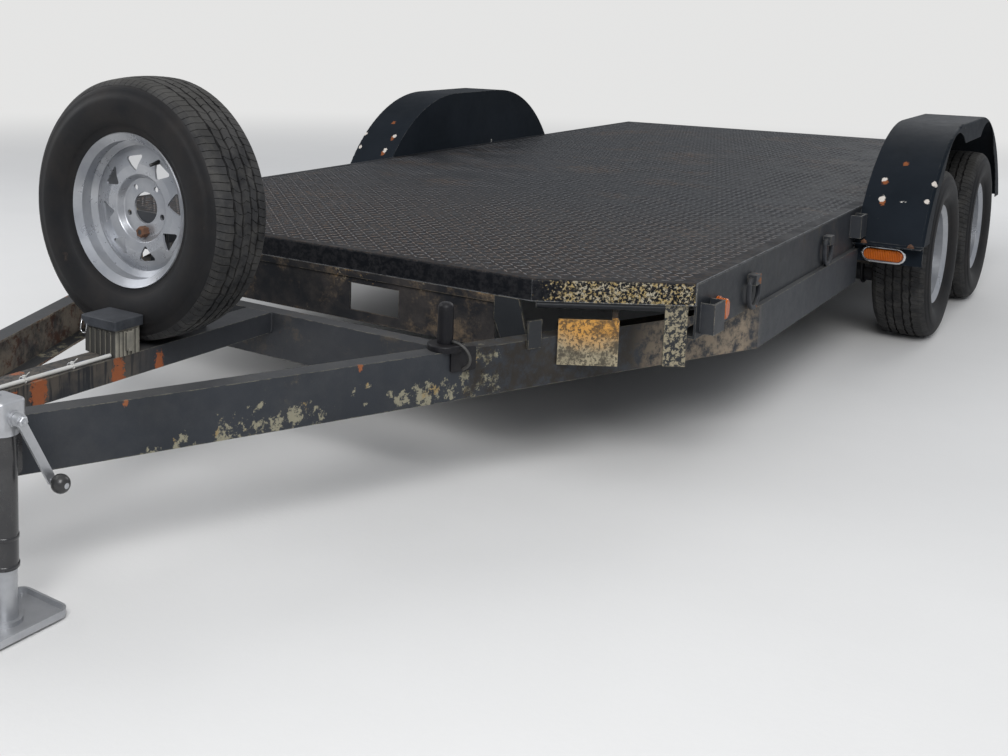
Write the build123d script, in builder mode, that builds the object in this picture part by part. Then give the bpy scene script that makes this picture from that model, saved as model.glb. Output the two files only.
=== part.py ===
from build123d import *
import os
from math import atan2, cos, degrees, hypot, radians, sin, sqrt

os.makedirs("parts", exist_ok=True)

# Driving dimensions in millimetres. The floor is z = 0, the trailer points along -Y, and its left is +X.
# Deck
deck_front = -1545.0
deck_length = 4880.0
deck_half = 1048.0
deck_top = 543.0
sheet = 5.0
lip = 59.0
lip_bend = 6.0
chamfer_x = 348.0
chamfer_y = 235.0

# Main frame
rail_low = 394.0
rail_web = 6.0
rail_flange = 50.0
rail_setback = 8.0
header_half = 592.0
header_drop = 58.0
strip_height = 20.0
window_x = 205.0
window_width = 168.0
window_low = 366.0
window_high = 446.0
member_first = 640.0
member_pitch = 600.0
member_count = 7
member_height = 76.0
member_flange = 38.0
member_web = 5.0

# Tongue, which wraps under the main frame
tongue_height = 127.0
tongue_out = 16.0
tongue_flange = 50.0
tongue_wall = 6.0
tongue_nose_x = 49.0
tongue_reach = 1600.0
tongue_bend = 739.0
tongue_wrap = 1913.0
beam_half = 44.0
beam_height = 57.0
beam_wall = 5.0
beam_reach = 1478.0
cross_reach = 262.0
cross_flange = 50.0

# Coupler
coupler_wall = 6.0
coupler_overlap = 130.0
coupler_nose = 110.0
coupler_nose_half = 36.0
coupler_drop = 80.0
socket_radius = 26.0

# Running gear
axle_mid_back = 2820.0
axle_gap = 864.0
axle_z = 326.0
axle_drop = 102.0
axle_tube = 38.0
spindle = 20.0
wheel_out = 128.0
spring_in = 25.0
spring_half = 320.0
leaf_width = 44.0
leaf = 8.0
eye_z = 349.0
eye_pin = 8.0
eye_wall = 6.0
hanger_plate = 8.0
running_gap = 5.0

# Wheels
tyre_radius = 331.0
tyre_half = 101.0
rim_radius = 195.0
rim_half = 76.0
rim_wall = 4.0
hub_bore = 40.0
bolt_circle = 60.3
bolt_count = 5
bolt_hole = 7.5
window_count = 8
window_inner = 93.0
window_depth = 41.0
window_base = 65.0
window_corner = 5.0
window_turn = 10.0
drum_radius = 130.0
drum_depth = 66.0

# Fenders
fender_width = 229.0
fender_half = 895.0
fender_low = 420.0
fender_top = 826.0
fender_arc = 760.0
fender_wall = 3.0
fender_bend = 10.0
arch_spread = 353.0
arch_radius = 300.0
arch_top = 798.0
apron_low = 746.0
tyre_room = 34.0
bracket_height = 72.0
lamp_length = 148.0
lamp_height = 58.0

# Spare wheel
spare_x = -46.0
spare_back = -655.0
post_x = -10.0
post = 50.0

# Battery box
box_x = -10.0
box_width = 114.0
box_length = 90.0
box_back = -811.5
box_height = 76.0
lid_height = 14.0
lid_skirt = 9.0
lid_gap = 1.5

# Jack
jack_x = 250.0
jack_back = -1350.0
jack_radius = 28.5
jack_wall = 3.0
jack_tube_low = 120.0
jack_tube_high = 410.0
leg_radius = 25.0
foot_length = 210.0
foot_width = 150.0

# Clearances: pieces that seat on one another without touching, and a shaft in its bore
seat = 0.3
fit = 0.3

# Places worked out from the driving dimensions
deck_rear = deck_front + deck_length
sheet_low = deck_top - sheet
lip_low = deck_top - lip
fender_inner = deck_half
fender_outer = deck_half + fender_width
wheel_plane = deck_half + wheel_out
spring_x = deck_half - spring_in
tongue_low = rail_low - tongue_height
tongue_half = deck_half + tongue_out
tongue_nose_y = deck_front - tongue_reach
tongue_bend_y = deck_front + tongue_bend
cross_y = deck_front - cross_reach
header_y = deck_front + sheet
axle_mid = deck_front + axle_mid_back
axle_ys = {"front": axle_mid - axle_gap / 2, "rear": axle_mid + axle_gap / 2}
spare_y = deck_front + spare_back
spare_z = rail_low + tyre_radius + seat
jack_y = deck_front + jack_back
sides = {"left": 1, "right": -1}
chamfer_turn = degrees(atan2(chamfer_y, chamfer_x))
chamfer_run = hypot(chamfer_x, chamfer_y)
tongue_turn = degrees(atan2(tongue_half - tongue_nose_x, tongue_bend_y - tongue_nose_y))
tongue_slope = (tongue_half - tongue_nose_x) / (tongue_bend_y - tongue_nose_y)


def save(piece, name):
    piece.part.label = name
    export_step(piece.part, f"parts/{name}.step")


def cross_section(y):
    """The upright plane across the trailer at y, drawn with x to the right and z up."""
    return Plane.XZ.offset(-y)


def rail_outer(y):
    """How far out the tongue rail's web lies at y, ahead of its bend."""
    return tongue_nose_x + tongue_slope * (y - tongue_nose_y)


def channel(web_x, inward, low, high, flange, wall):
    """A channel's outline in a cross-section: the web at web_x, the flanges running inward."""
    Polyline(
        (web_x, low),
        (web_x + inward * flange, low),
        (web_x + inward * flange, low + wall),
        (web_x + inward * wall, low + wall),
        (web_x + inward * wall, high - wall),
        (web_x + inward * flange, high - wall),
        (web_x + inward * flange, high),
        (web_x, high),
        close=True,
    )


# Main side rails, channels with the web outside
for side_name, side in sides.items():
    with BuildPart() as main_rail:
        with BuildSketch(cross_section(deck_front + chamfer_y + rail_setback)):
            with BuildLine():
                channel(side * deck_half, -side, rail_low, sheet_low, rail_flange, rail_web)
            make_face()
        extrude(amount=-(deck_length - chamfer_y - rail_setback - sheet))
    save(main_rail, f"main_rail_{side_name}")

# Deck sheet with clipped front corners and a turned-down front lip
with BuildPart() as deck_plate:
    with BuildSketch(Plane.XY.offset(lip_low)):
        with BuildLine():
            Polyline(
                (-deck_half, deck_rear),
                (-deck_half, deck_front + chamfer_y),
                (-deck_half + chamfer_x, deck_front),
                (deck_half - chamfer_x, deck_front),
                (deck_half, deck_front + chamfer_y),
                (deck_half, deck_rear),
                close=True,
            )
        make_face()
    extrude(amount=lip)
    with BuildSketch(Plane.XY.offset(lip_low)):
        with BuildLine():
            Polyline(
                (-deck_half, deck_rear),
                (-deck_half, deck_front + chamfer_y + sheet / cos(radians(chamfer_turn))),
                (-deck_half + chamfer_x, deck_front + sheet),
                (deck_half - chamfer_x, deck_front + sheet),
                (deck_half, deck_front + chamfer_y + sheet / cos(radians(chamfer_turn))),
                (deck_half, deck_rear),
                close=True,
            )
        make_face()
    extrude(amount=lip - sheet, mode=Mode.SUBTRACT)
    top_edges = deck_plate.edges().group_by(Axis.Z)[-1].sort_by(Axis.Y)
    fillet(top_edges[:3], lip_bend)
save(deck_plate, "deck_plate")

# Front header with its rectangular window, and the flat strip under the lip
with BuildPart() as front_header:
    with BuildSketch(Plane.YZ.offset(-header_half)):
        with BuildLine():
            channel(header_y, 1, rail_low - header_drop, sheet_low, rail_flange, rail_web)
        make_face()
    extrude(amount=2 * header_half)
    with BuildSketch(cross_section(header_y)):
        with Locations((window_x, (window_low + window_high) / 2)):
            Rectangle(window_width, window_high - window_low)
    extrude(amount=-rail_web, mode=Mode.SUBTRACT)
    with BuildSketch(cross_section(deck_front)):
        with Locations((0, lip_low - seat - strip_height / 2)):
            Rectangle(2 * header_half, strip_height)
    extrude(amount=-sheet)
save(front_header, "front_header")

# Rear header across the rails' ends
with BuildPart() as rear_header:
    with BuildSketch(cross_section(deck_rear - sheet)):
        with Locations((0, (rail_low + sheet_low) / 2)):
            Rectangle(2 * deck_half, sheet_low - rail_low)
    extrude(amount=-sheet)
save(rear_header, "rear_header")

# Cross members under the sheet, welded between the rails
member_high = sheet_low - rail_web
with BuildPart() as cross_members:
    for number in range(member_count):
        member_y = deck_front + member_first + number * member_pitch
        with BuildSketch(Plane.YZ.offset(-(deck_half - rail_web))):
            with BuildLine():
                channel(member_y, 1, member_high - member_height, member_high, member_flange, member_web)
            make_face()
        extrude(amount=2 * (deck_half - rail_web))
save(cross_members, "cross_members")

# Tongue rails: straight from the coupler to a mitred bend, then along under the side rails
for side_name, side in sides.items():
    with BuildPart() as tongue_rail:
        with BuildLine() as rail_path:
            Polyline(
                (side * tongue_nose_x, tongue_nose_y, tongue_low),
                (side * tongue_half, tongue_bend_y, tongue_low),
                (side * tongue_half, deck_front + tongue_wrap, tongue_low),
            )
        heading = rail_path.line % 0
        with BuildSketch(Plane(origin=rail_path.line @ 0, x_dir=(heading.Y, -heading.X, 0), z_dir=-heading)):
            with BuildLine():
                channel(0, -side, 0, tongue_height, tongue_flange, tongue_wall)
            make_face()
        sweep(transition=Transition.RIGHT)
    save(tongue_rail, f"tongue_rail_{side_name}")

# Centre beam, a flat rectangular tube from the nose to the tongue's cross piece
with BuildPart() as tongue_beam:
    with BuildSketch(cross_section(deck_front - beam_reach)):
        with Locations((0, rail_low - beam_height / 2)):
            Rectangle(2 * beam_half, beam_height)
            Rectangle(2 * (beam_half - beam_wall), beam_height - 2 * beam_wall, mode=Mode.SUBTRACT)
    extrude(amount=-(beam_reach - cross_reach))
save(tongue_beam, "tongue_beam")

# Tongue's cross piece, a channel between the two rails' flanges
cross_half = rail_outer(cross_y) - tongue_flange / cos(radians(tongue_turn)) - seat
with BuildPart() as tongue_cross:
    with BuildSketch(Plane.YZ.offset(-cross_half)):
        with BuildLine():
            channel(cross_y, 1, tongue_low, rail_low, cross_flange, tongue_wall)
        make_face()
    extrude(amount=2 * cross_half)
save(tongue_cross, "tongue_cross")

# Coupler: a folded housing over the rails' front ends, open below, with a ball socket in its nose
coupler_back_y = tongue_nose_y + coupler_overlap
ball_y = tongue_nose_y - coupler_nose
coupler_top = rail_low + seat + coupler_wall
coupler_low = rail_low - coupler_drop
nose_radius = socket_radius + 12
nose_rise = 18.0
rail_gap = coupler_wall / cos(radians(tongue_turn)) + fit
with BuildPart() as coupler_hollow:
    with BuildSketch(Plane.XY.offset(coupler_low)):
        with BuildLine():
            Polyline(
                (-rail_outer(coupler_back_y) - fit, coupler_back_y),
                (-tongue_nose_x - fit, tongue_nose_y),
                (-coupler_nose_half + coupler_wall, ball_y),
                (coupler_nose_half - coupler_wall, ball_y),
                (tongue_nose_x + fit, tongue_nose_y),
                (rail_outer(coupler_back_y) + fit, coupler_back_y),
                close=True,
            )
        make_face()
    extrude(amount=coupler_drop + seat)
with BuildPart() as coupler:
    with BuildSketch(Plane.XY.offset(coupler_low)):
        with BuildLine():
            Polyline(
                (-rail_outer(coupler_back_y) - rail_gap, coupler_back_y),
                (-tongue_nose_x - rail_gap, tongue_nose_y),
                (-coupler_nose_half, ball_y),
                (coupler_nose_half, ball_y),
                (tongue_nose_x + rail_gap, tongue_nose_y),
                (rail_outer(coupler_back_y) + rail_gap, coupler_back_y),
                close=True,
            )
        make_face()
    extrude(amount=coupler_top - coupler_low)
    add(coupler_hollow.part, mode=Mode.SUBTRACT)
    with BuildSketch(Plane.YZ):
        with BuildLine():
            nose_floor = Line((ball_y, coupler_low + 10), (ball_y - nose_radius, coupler_low + 10))
            nose_wall = Line(nose_floor @ 1, (ball_y - nose_radius, coupler_top - 12))
            nose_dome = ThreePointArc(
                nose_wall @ 1,
                (ball_y - nose_radius * 0.7, coupler_top + nose_rise / 2),
                (ball_y, coupler_top + nose_rise),
            )
            Line(nose_dome @ 1, nose_floor @ 0)
        make_face()
    revolve(axis=Axis((0, ball_y, 0), (0, 0, 1)))
    with BuildSketch(Plane.YZ):
        with BuildLine():
            socket_z = coupler_low + 10 + socket_radius
            mouth = Line((ball_y, coupler_low), (ball_y - socket_radius, coupler_low))
            neck = Line(mouth @ 1, (ball_y - socket_radius, socket_z))
            crown = ThreePointArc(
                neck @ 1,
                (ball_y - socket_radius * cos(radians(45)), socket_z + socket_radius * sin(radians(45))),
                (ball_y, socket_z + socket_radius),
            )
            Line(crown @ 1, mouth @ 0)
        make_face()
    revolve(axis=Axis((0, ball_y, 0), (0, 0, 1)), mode=Mode.SUBTRACT)
save(coupler, "coupler")

# Coupler latch: a lever that curls up behind the socket
latch_half = 9.0
latch_low = coupler_top + seat
with BuildPart() as coupler_latch:
    with BuildSketch(Plane.YZ.offset(-latch_half)):
        with BuildLine():
            heel = Line((ball_y + 44, latch_low), (ball_y + 120, latch_low))
            lever = Line(heel @ 1, (ball_y + 160, latch_low + 34))
            tip = ThreePointArc(lever @ 1, (ball_y + 158, latch_low + 42), (ball_y + 150, latch_low + 42))
            back = Line(tip @ 1, (ball_y + 112, latch_low + 16))
            hump = ThreePointArc(back @ 1, (ball_y + 76, latch_low + 28), (ball_y + 44, latch_low + 14))
            Line(hump @ 1, heel @ 0)
        make_face()
    extrude(amount=2 * latch_half)
save(coupler_latch, "coupler_latch")

# Corner frames under the clipped corners, in a face just behind the lip
plate_low = 319.0
plate_high = 441.0
# columns of the posts: how far along the chamfer the middle is, width, lower end
corner_posts = [
    (219.5, 15.0, 325.0),
    (375.0, 58.0, 319.0),
]
strip_drop = 60.0
strip_short = 30.0
post_wall = 6.0
gusset_top = 72.0
gusset_low = 342.0
gusset_in = 34.0
gusset_notch = 62.0
tab_back = -36.0
tab_length = 44.0
tab_low = 372.0
tab_high = 446.0
plate_stand = 8.0
plate_end = 227.0
for side_name, side in sides.items():
    along = Vector(side * cos(radians(chamfer_turn)), sin(radians(chamfer_turn)), 0)
    back = Vector(-side * sin(radians(chamfer_turn)), cos(radians(chamfer_turn)), 0)
    corner = Vector(side * (deck_half - chamfer_x), deck_front, 0)
    frame_face = corner + back * (2 * sheet)
    # where the tongue rail's web leaves room for the plate to start
    start_point = corner - back * (plate_stand - post_wall)
    room = rail_outer(start_point.Y) - side * start_point.X + seat
    plate_start = room / (cos(radians(chamfer_turn)) - tongue_slope * sin(radians(chamfer_turn)))
    with BuildPart() as corner_frame:
        with BuildSketch(Plane(origin=frame_face, x_dir=along, z_dir=back if side < 0 else -back)):
            with Locations((chamfer_run / 2, sheet_low - strip_drop / 2)):
                Rectangle(chamfer_run - strip_short, strip_drop)
            for middle, width, low in corner_posts:
                with Locations((middle, (low + sheet_low) / 2)):
                    Rectangle(width, sheet_low - low)
        extrude(amount=post_wall if side < 0 else -post_wall)
        # the low plate, folded back at its end to the post behind it
        plate_corner = corner - back * plate_stand
        with BuildSketch(Plane.XY.offset(plate_low)):
            with BuildLine():
                outline = [
                    plate_corner + along * plate_start,
                    plate_corner + along * plate_end,
                    frame_face + along * plate_end,
                    frame_face + along * (plate_end - post_wall),
                    plate_corner + back * post_wall + along * (plate_end - post_wall),
                    plate_corner + back * post_wall + along * plate_start,
                ]
                Polyline(*[(point.X, point.Y) for point in outline], close=True)
            make_face()
        extrude(amount=plate_high - plate_low)
        # a gusset in the lip's plane, between the header's end and the tongue rail's flange
        gusset_x = header_half + seat
        flange_x = rail_outer(deck_front) - tongue_flange / cos(radians(tongue_turn)) - seat
        with BuildSketch(cross_section(deck_front)):
            with BuildLine():
                Polyline(
                    (side * gusset_x, lip_low - seat),
                    (side * (gusset_x + gusset_top), lip_low - seat),
                    (side * flange_x, rail_low),
                    (side * flange_x, gusset_low),
                    (side * (gusset_x + gusset_in), gusset_low),
                    (side * gusset_x, lip_low - gusset_notch),
                    close=True,
                )
            make_face()
        extrude(amount=-post_wall)
        # a tab lapped on the tongue rail's web
        tab_y = deck_front + tab_back
        tab_foot = Vector(side * (rail_outer(tab_y) + seat), tab_y, (tab_low + tab_high) / 2)
        web_along = Vector(side * sin(radians(tongue_turn)), cos(radians(tongue_turn)), 0)
        web_out = Vector(side * cos(radians(tongue_turn)), -sin(radians(tongue_turn)), 0)
        with BuildSketch(Plane(origin=tab_foot, x_dir=web_along, z_dir=web_out)):
            Rectangle(tab_length, tab_high - tab_low)
        extrude(amount=post_wall)
    save(corner_frame, f"corner_frame_{side_name}")

# Round tie bars under the lip of the clipped corners
bar_radius = 8.0
bar_inset = 12.0
bar_length = 330.0
for side_name, side in sides.items():
    along = Vector(side * cos(radians(chamfer_turn)), sin(radians(chamfer_turn)), 0)
    corner = Vector(side * (deck_half - chamfer_x), deck_front, lip_low - bar_radius - seat)
    with BuildPart() as corner_bar:
        with BuildSketch(Plane(origin=corner + along * bar_inset, z_dir=along)):
            Circle(bar_radius)
        extrude(amount=bar_length)
    save(corner_bar, f"corner_bar_{side_name}")

# Tandem fenders: a rolled sheet over both wheels, a shallow outer skirt and an inner panel
arc_centre = fender_top - fender_arc
flat_half = fender_half - sqrt(fender_arc**2 - (fender_low - arc_centre) ** 2)


def rolled_outline(radius, low):
    """A fender's outline from the side: a flat top between two arcs, closed along its lower edge."""
    reach = sqrt(radius**2 - (low - arc_centre) ** 2)
    middle = radians(58)
    front_arc = ThreePointArc(
        (axle_mid - flat_half - reach, low),
        (axle_mid - flat_half - radius * cos(middle), arc_centre + radius * sin(middle)),
        (axle_mid - flat_half, arc_centre + radius),
    )
    flat_top = Line(front_arc @ 1, (axle_mid + flat_half, arc_centre + radius))
    rear_arc = ThreePointArc(
        flat_top @ 1,
        (axle_mid + flat_half + radius * cos(middle), arc_centre + radius * sin(middle)),
        (axle_mid + flat_half + reach, low),
    )
    Line(rear_arc @ 1, front_arc @ 0)


for side_name, side in sides.items():
    with BuildPart() as fender_hollow:
        with BuildSketch(Plane.YZ.offset(side * (fender_inner + fender_wall))):
            with BuildLine():
                rolled_outline(fender_arc - fender_wall, fender_low - running_gap)
            make_face()
        extrude(amount=side * (fender_width - 2 * fender_wall))
        outer_face = fender_hollow.faces().sort_by(Axis.X)[-1 if side > 0 else 0]
        fillet(outer_face.edges().sort_by(Axis.Z)[1:], fender_bend - fender_wall)
    with BuildPart() as fender:
        with BuildSketch(Plane.YZ.offset(side * fender_inner)):
            with BuildLine():
                rolled_outline(fender_arc, fender_low)
            make_face()
        extrude(amount=side * fender_width)
        outer_face = fender.faces().sort_by(Axis.X)[-1 if side > 0 else 0]
        fillet(outer_face.edges().sort_by(Axis.Z)[1:], fender_bend)
        add(fender_hollow.part, mode=Mode.SUBTRACT)
        # the skirt is cut in an arch over each wheel, with an apron between them
        with BuildSketch(Plane.YZ.offset(side * (fender_outer - fender_bend))) :
            for way in (-1, 1):
                with Locations((axle_mid + way * arch_spread, arch_top - arch_radius)):
                    Circle(arch_radius)
                with Locations((axle_mid + way * axle_gap / 2, axle_z)):
                    Circle(tyre_radius + tyre_room)
            with Locations((axle_mid, (apron_low + fender_low - arch_radius) / 2)):
                Rectangle(2 * arch_spread, apron_low - fender_low + arch_radius)
            with Locations((axle_mid, fender_low - arch_radius / 2)):
                Rectangle(2 * (fender_half + fender_bend), arch_radius)
        extrude(amount=side * (fender_bend + 1), mode=Mode.SUBTRACT)
    save(fender, f"fender_{side_name}")

# Fender brackets: flanged plates at the front ends, which carry the clearance lamps
bracket_wall = 4.0
bracket_y = axle_mid - fender_half
bracket_depth = 48.0
lamp_depth = 22.0
lamp_rim = 8.0
lamp_z = fender_low - bracket_height / 2 - 4
lamp_x = fender_inner + fender_width / 2 - 13
for side_name, side in sides.items():
    with BuildPart() as fender_bracket:
        with BuildSketch(Plane.YZ.offset(side * (fender_inner + seat))):
            with BuildLine():
                Polyline(
                    (bracket_y - bracket_depth, fender_low - seat),
                    (bracket_y + bracket_wall, fender_low - seat),
                    (bracket_y + bracket_wall, fender_low - bracket_height),
                    (bracket_y, fender_low - bracket_height),
                    (bracket_y, fender_low - seat - bracket_wall),
                    (bracket_y - bracket_depth, fender_low - seat - bracket_wall),
                    close=True,
                )
            make_face()
        extrude(amount=side * (fender_width - seat))
    save(fender_bracket, f"fender_bracket_{side_name}")
    with BuildPart() as fender_lamp:
        with BuildSketch(cross_section(bracket_y - seat)):
            with Locations((side * lamp_x, lamp_z)):
                SlotOverall(lamp_length, lamp_height)
        extrude(amount=lamp_depth / 2)
        with BuildSketch(cross_section(bracket_y - seat - lamp_depth / 2)):
            with Locations((side * lamp_x, lamp_z)):
                SlotOverall(lamp_length - 2 * lamp_rim, lamp_height - 2 * lamp_rim)
        extrude(amount=lamp_depth / 2)
        fillet(fender_lamp.faces().sort_by(Axis.Y)[0].edges(), lamp_depth / 4)
    save(fender_lamp, f"fender_lamp_{side_name}")

# Stake pockets: open-topped sockets on the side rails, the third one behind the rear tyres
pocket_length = 80.0
pocket_behind_tyre = 377.0
third_pocket = axle_mid_back + axle_gap / 2 + tyre_radius + pocket_behind_tyre + pocket_length / 2
# columns: distance of the middle from the deck's front edge, or if negative from its rear edge,
# and height of the lower end over the rail's lower edge
stake_places = [(312.0, 10.0), (1875.0, 48.0), (third_pocket, 10.0), (-180.0, 10.0)]
pocket_depth = 38.0
pocket_wall = 6.0
pocket_height = 82.0
for side_name, side in sides.items():
    with BuildPart() as stake_pockets:
        for place, lift in stake_places:
            middle_y = deck_front + place if place > 0 else deck_rear + place
            with BuildSketch(Plane.XY.offset(rail_low + lift)):
                with Locations((side * (deck_half + pocket_depth / 2), middle_y)):
                    Rectangle(pocket_depth, pocket_length)
                with Locations((side * (deck_half + (pocket_depth - pocket_wall) / 2), middle_y)):
                    Rectangle(pocket_depth - pocket_wall, pocket_length - 2 * pocket_wall, mode=Mode.SUBTRACT)
            extrude(amount=pocket_height)
    save(stake_pockets, f"stake_pockets_{side_name}")

# Tie rings: a round-bar D ring in a folded clip on each side rail
# columns: distance of the middle behind the deck's front edge
tie_ring_places = [680.0, 1490.0]
ring_bar = 13.0
ring_width = 100.0
ring_height = 96.0
ring_corner = 20.0
clip_width = 46.0
clip_height = 30.0
clip_depth = 25.0
ring_top = lip_low + 6.0


def ring_outline(middle_y, inset):
    """A D ring's outline hanging below ring_top, drawn inset by the given distance."""
    half = ring_width / 2 - inset
    high = ring_top - inset
    turn = ring_corner - inset
    bend = turn * (1 - cos(radians(45)))
    arc_z = ring_top - ring_height + ring_width / 2
    bow = ThreePointArc((middle_y - half, arc_z), (middle_y, arc_z - half), (middle_y + half, arc_z))
    rear_side = Line(bow @ 1, (middle_y + half, high - turn))
    rear_corner = ThreePointArc(
        rear_side @ 1, (middle_y + half - bend, high - bend), (middle_y + half - turn, high)
    )
    bar = Line(rear_corner @ 1, (middle_y - half + turn, high))
    front_corner = ThreePointArc(
        bar @ 1, (middle_y - half + bend, high - bend), (middle_y - half, high - turn)
    )
    Line(front_corner @ 1, bow @ 0)


for side_name, side in sides.items():
    with BuildPart() as tie_rings:
        for place in tie_ring_places:
            with BuildSketch(Plane.YZ.offset(side * (deck_half + clip_depth / 2) - ring_bar / 2)):
                with BuildLine():
                    ring_outline(deck_front + place, 0)
                make_face()
                with BuildLine():
                    ring_outline(deck_front + place, ring_bar)
                make_face(mode=Mode.SUBTRACT)
            extrude(amount=ring_bar)
        fillet(tie_rings.faces().filter_by(Axis.X).edges(), ring_bar * 0.35)
        for place in tie_ring_places:
            with BuildSketch(Plane.YZ.offset(side * deck_half)):
                with Locations((deck_front + place, ring_top - ring_bar / 2)):
                    Rectangle(clip_width, clip_height)
            extrude(amount=side * clip_depth)
    save(tie_rings, f"tie_rings_{side_name}")

# Side marker lamps on the side rails, low domed lenses
marker_y = deck_front + 405.0
marker_z = rail_low + 55.0
marker_depth = 28.0
marker_length = 65.0
marker_width = 50.0
marker_base = 6.0
marker_rim = 4.0
for side_name, side in sides.items():
    with BuildPart() as side_lamp:
        with BuildSketch(Plane.YZ.offset(side * (deck_half + seat))):
            with Locations((marker_y, marker_z)):
                SlotOverall(marker_length, marker_width, rotation=90)
        extrude(amount=side * marker_base)
        with BuildSketch(Plane.YZ.offset(side * (deck_half + seat + marker_base))):
            with Locations((marker_y, marker_z)):
                SlotOverall(marker_length - 2 * marker_rim, marker_width - 2 * marker_rim, rotation=90)
        extrude(amount=side * (marker_depth - marker_base))
        fillet(side_lamp.faces().sort_by(Axis.X)[-1 if side > 0 else 0].edges(), marker_base)
    save(side_lamp, f"side_lamp_{side_name}")

# Tail lamps on the rear header
tail_lamp_in = 130.0
tail_lamp_length = 165.0
tail_lamp_height = 60.0
tail_lamp_depth = 22.0
tail_lamp_bend = 8.0
for side_name, side in sides.items():
    with BuildPart() as tail_lamp:
        with BuildSketch(cross_section(deck_rear)):
            with Locations((side * (deck_half - tail_lamp_in), (rail_low + sheet_low) / 2)):
                SlotOverall(tail_lamp_length, tail_lamp_height)
        extrude(amount=-tail_lamp_depth)
        fillet(tail_lamp.faces().sort_by(Axis.Y)[-1].edges(), tail_lamp_bend)
    save(tail_lamp, f"tail_lamp_{side_name}")

# Axles: a dropped tube with its end arms, spring seats, stub spindles and the plates behind the drums
tube_z = axle_z - axle_drop
seat_z = tube_z + axle_tube + 4
arm_width = 20.0
plate_back = drum_depth + running_gap
spindle_end = 12.0
pad_length = 64.0
for axle_name, y in axle_ys.items():
    with BuildPart() as axle:
        with BuildSketch(Plane.YZ.offset(-deck_half)):
            with Locations((y, tube_z)):
                Circle(axle_tube)
        extrude(amount=2 * deck_half)
        for side in sides.values():
            with BuildSketch(Plane.YZ.offset(side * (deck_half - 2))):
                with Locations((y, tube_z + axle_drop / 2)):
                    SlotOverall(axle_drop + 2 * axle_tube, 2 * axle_tube, rotation=90)
            extrude(amount=side * arm_width)
            with BuildSketch(Plane.YZ.offset(side * (deck_half + arm_width / 2))):
                with Locations((y, axle_z)):
                    Circle(spindle)
            extrude(amount=side * (wheel_out + spindle_end - arm_width / 2))
            with BuildSketch(Plane.YZ.offset(side * (wheel_plane - plate_back - 3))):
                with Locations((y, axle_z)):
                    Circle(drum_radius - 3)
            extrude(amount=side * 3)
            with BuildSketch(Plane.XY.offset(tube_z)):
                with Locations((side * spring_x, y)):
                    Rectangle(leaf_width, pad_length)
            extrude(amount=seat_z - tube_z)
    save(axle, f"axle_{axle_name}")

# Leaf springs: packs of four leaves over the axle tubes, the longest with a rolled eye at each end
# columns of the leaves, from the longest down: half length
leaf_halves = [spring_half, 250.0, 180.0, 110.0]
eye_bore = eye_pin + fit
eye_outer = eye_bore + eye_wall
eye_rise = eye_z - eye_outer - (seat_z + 3 * leaf)
for side_name, side in sides.items():
    with BuildPart() as leaf_springs:
        for y in axle_ys.values():
            for number, half in enumerate(leaf_halves):
                low = seat_z + (3 - number) * leaf
                rise = eye_rise * (half / spring_half) ** 2
                with BuildSketch(Plane.YZ.offset(side * spring_x - leaf_width / 2)):
                    with BuildLine():
                        under = ThreePointArc((y - half, low + rise), (y, low), (y + half, low + rise))
                        rear_end = Line(under @ 1, (y + half, low + rise + leaf))
                        over = ThreePointArc(rear_end @ 1, (y, low + leaf), (y - half, low + rise + leaf))
                        Line(over @ 1, under @ 0)
                    make_face()
                extrude(amount=leaf_width)
            with BuildSketch(Plane.YZ.offset(side * spring_x - leaf_width / 2)):
                with Locations((y - spring_half, eye_z), (y + spring_half, eye_z)):
                    Circle(eye_outer)
            extrude(amount=leaf_width)
            with BuildSketch(Plane.YZ.offset(side * spring_x - leaf_width / 2)):
                with Locations((y - spring_half, eye_z), (y + spring_half, eye_z)):
                    Circle(eye_bore)
            extrude(amount=leaf_width, mode=Mode.SUBTRACT)
    save(leaf_springs, f"leaf_springs_{side_name}")

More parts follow.
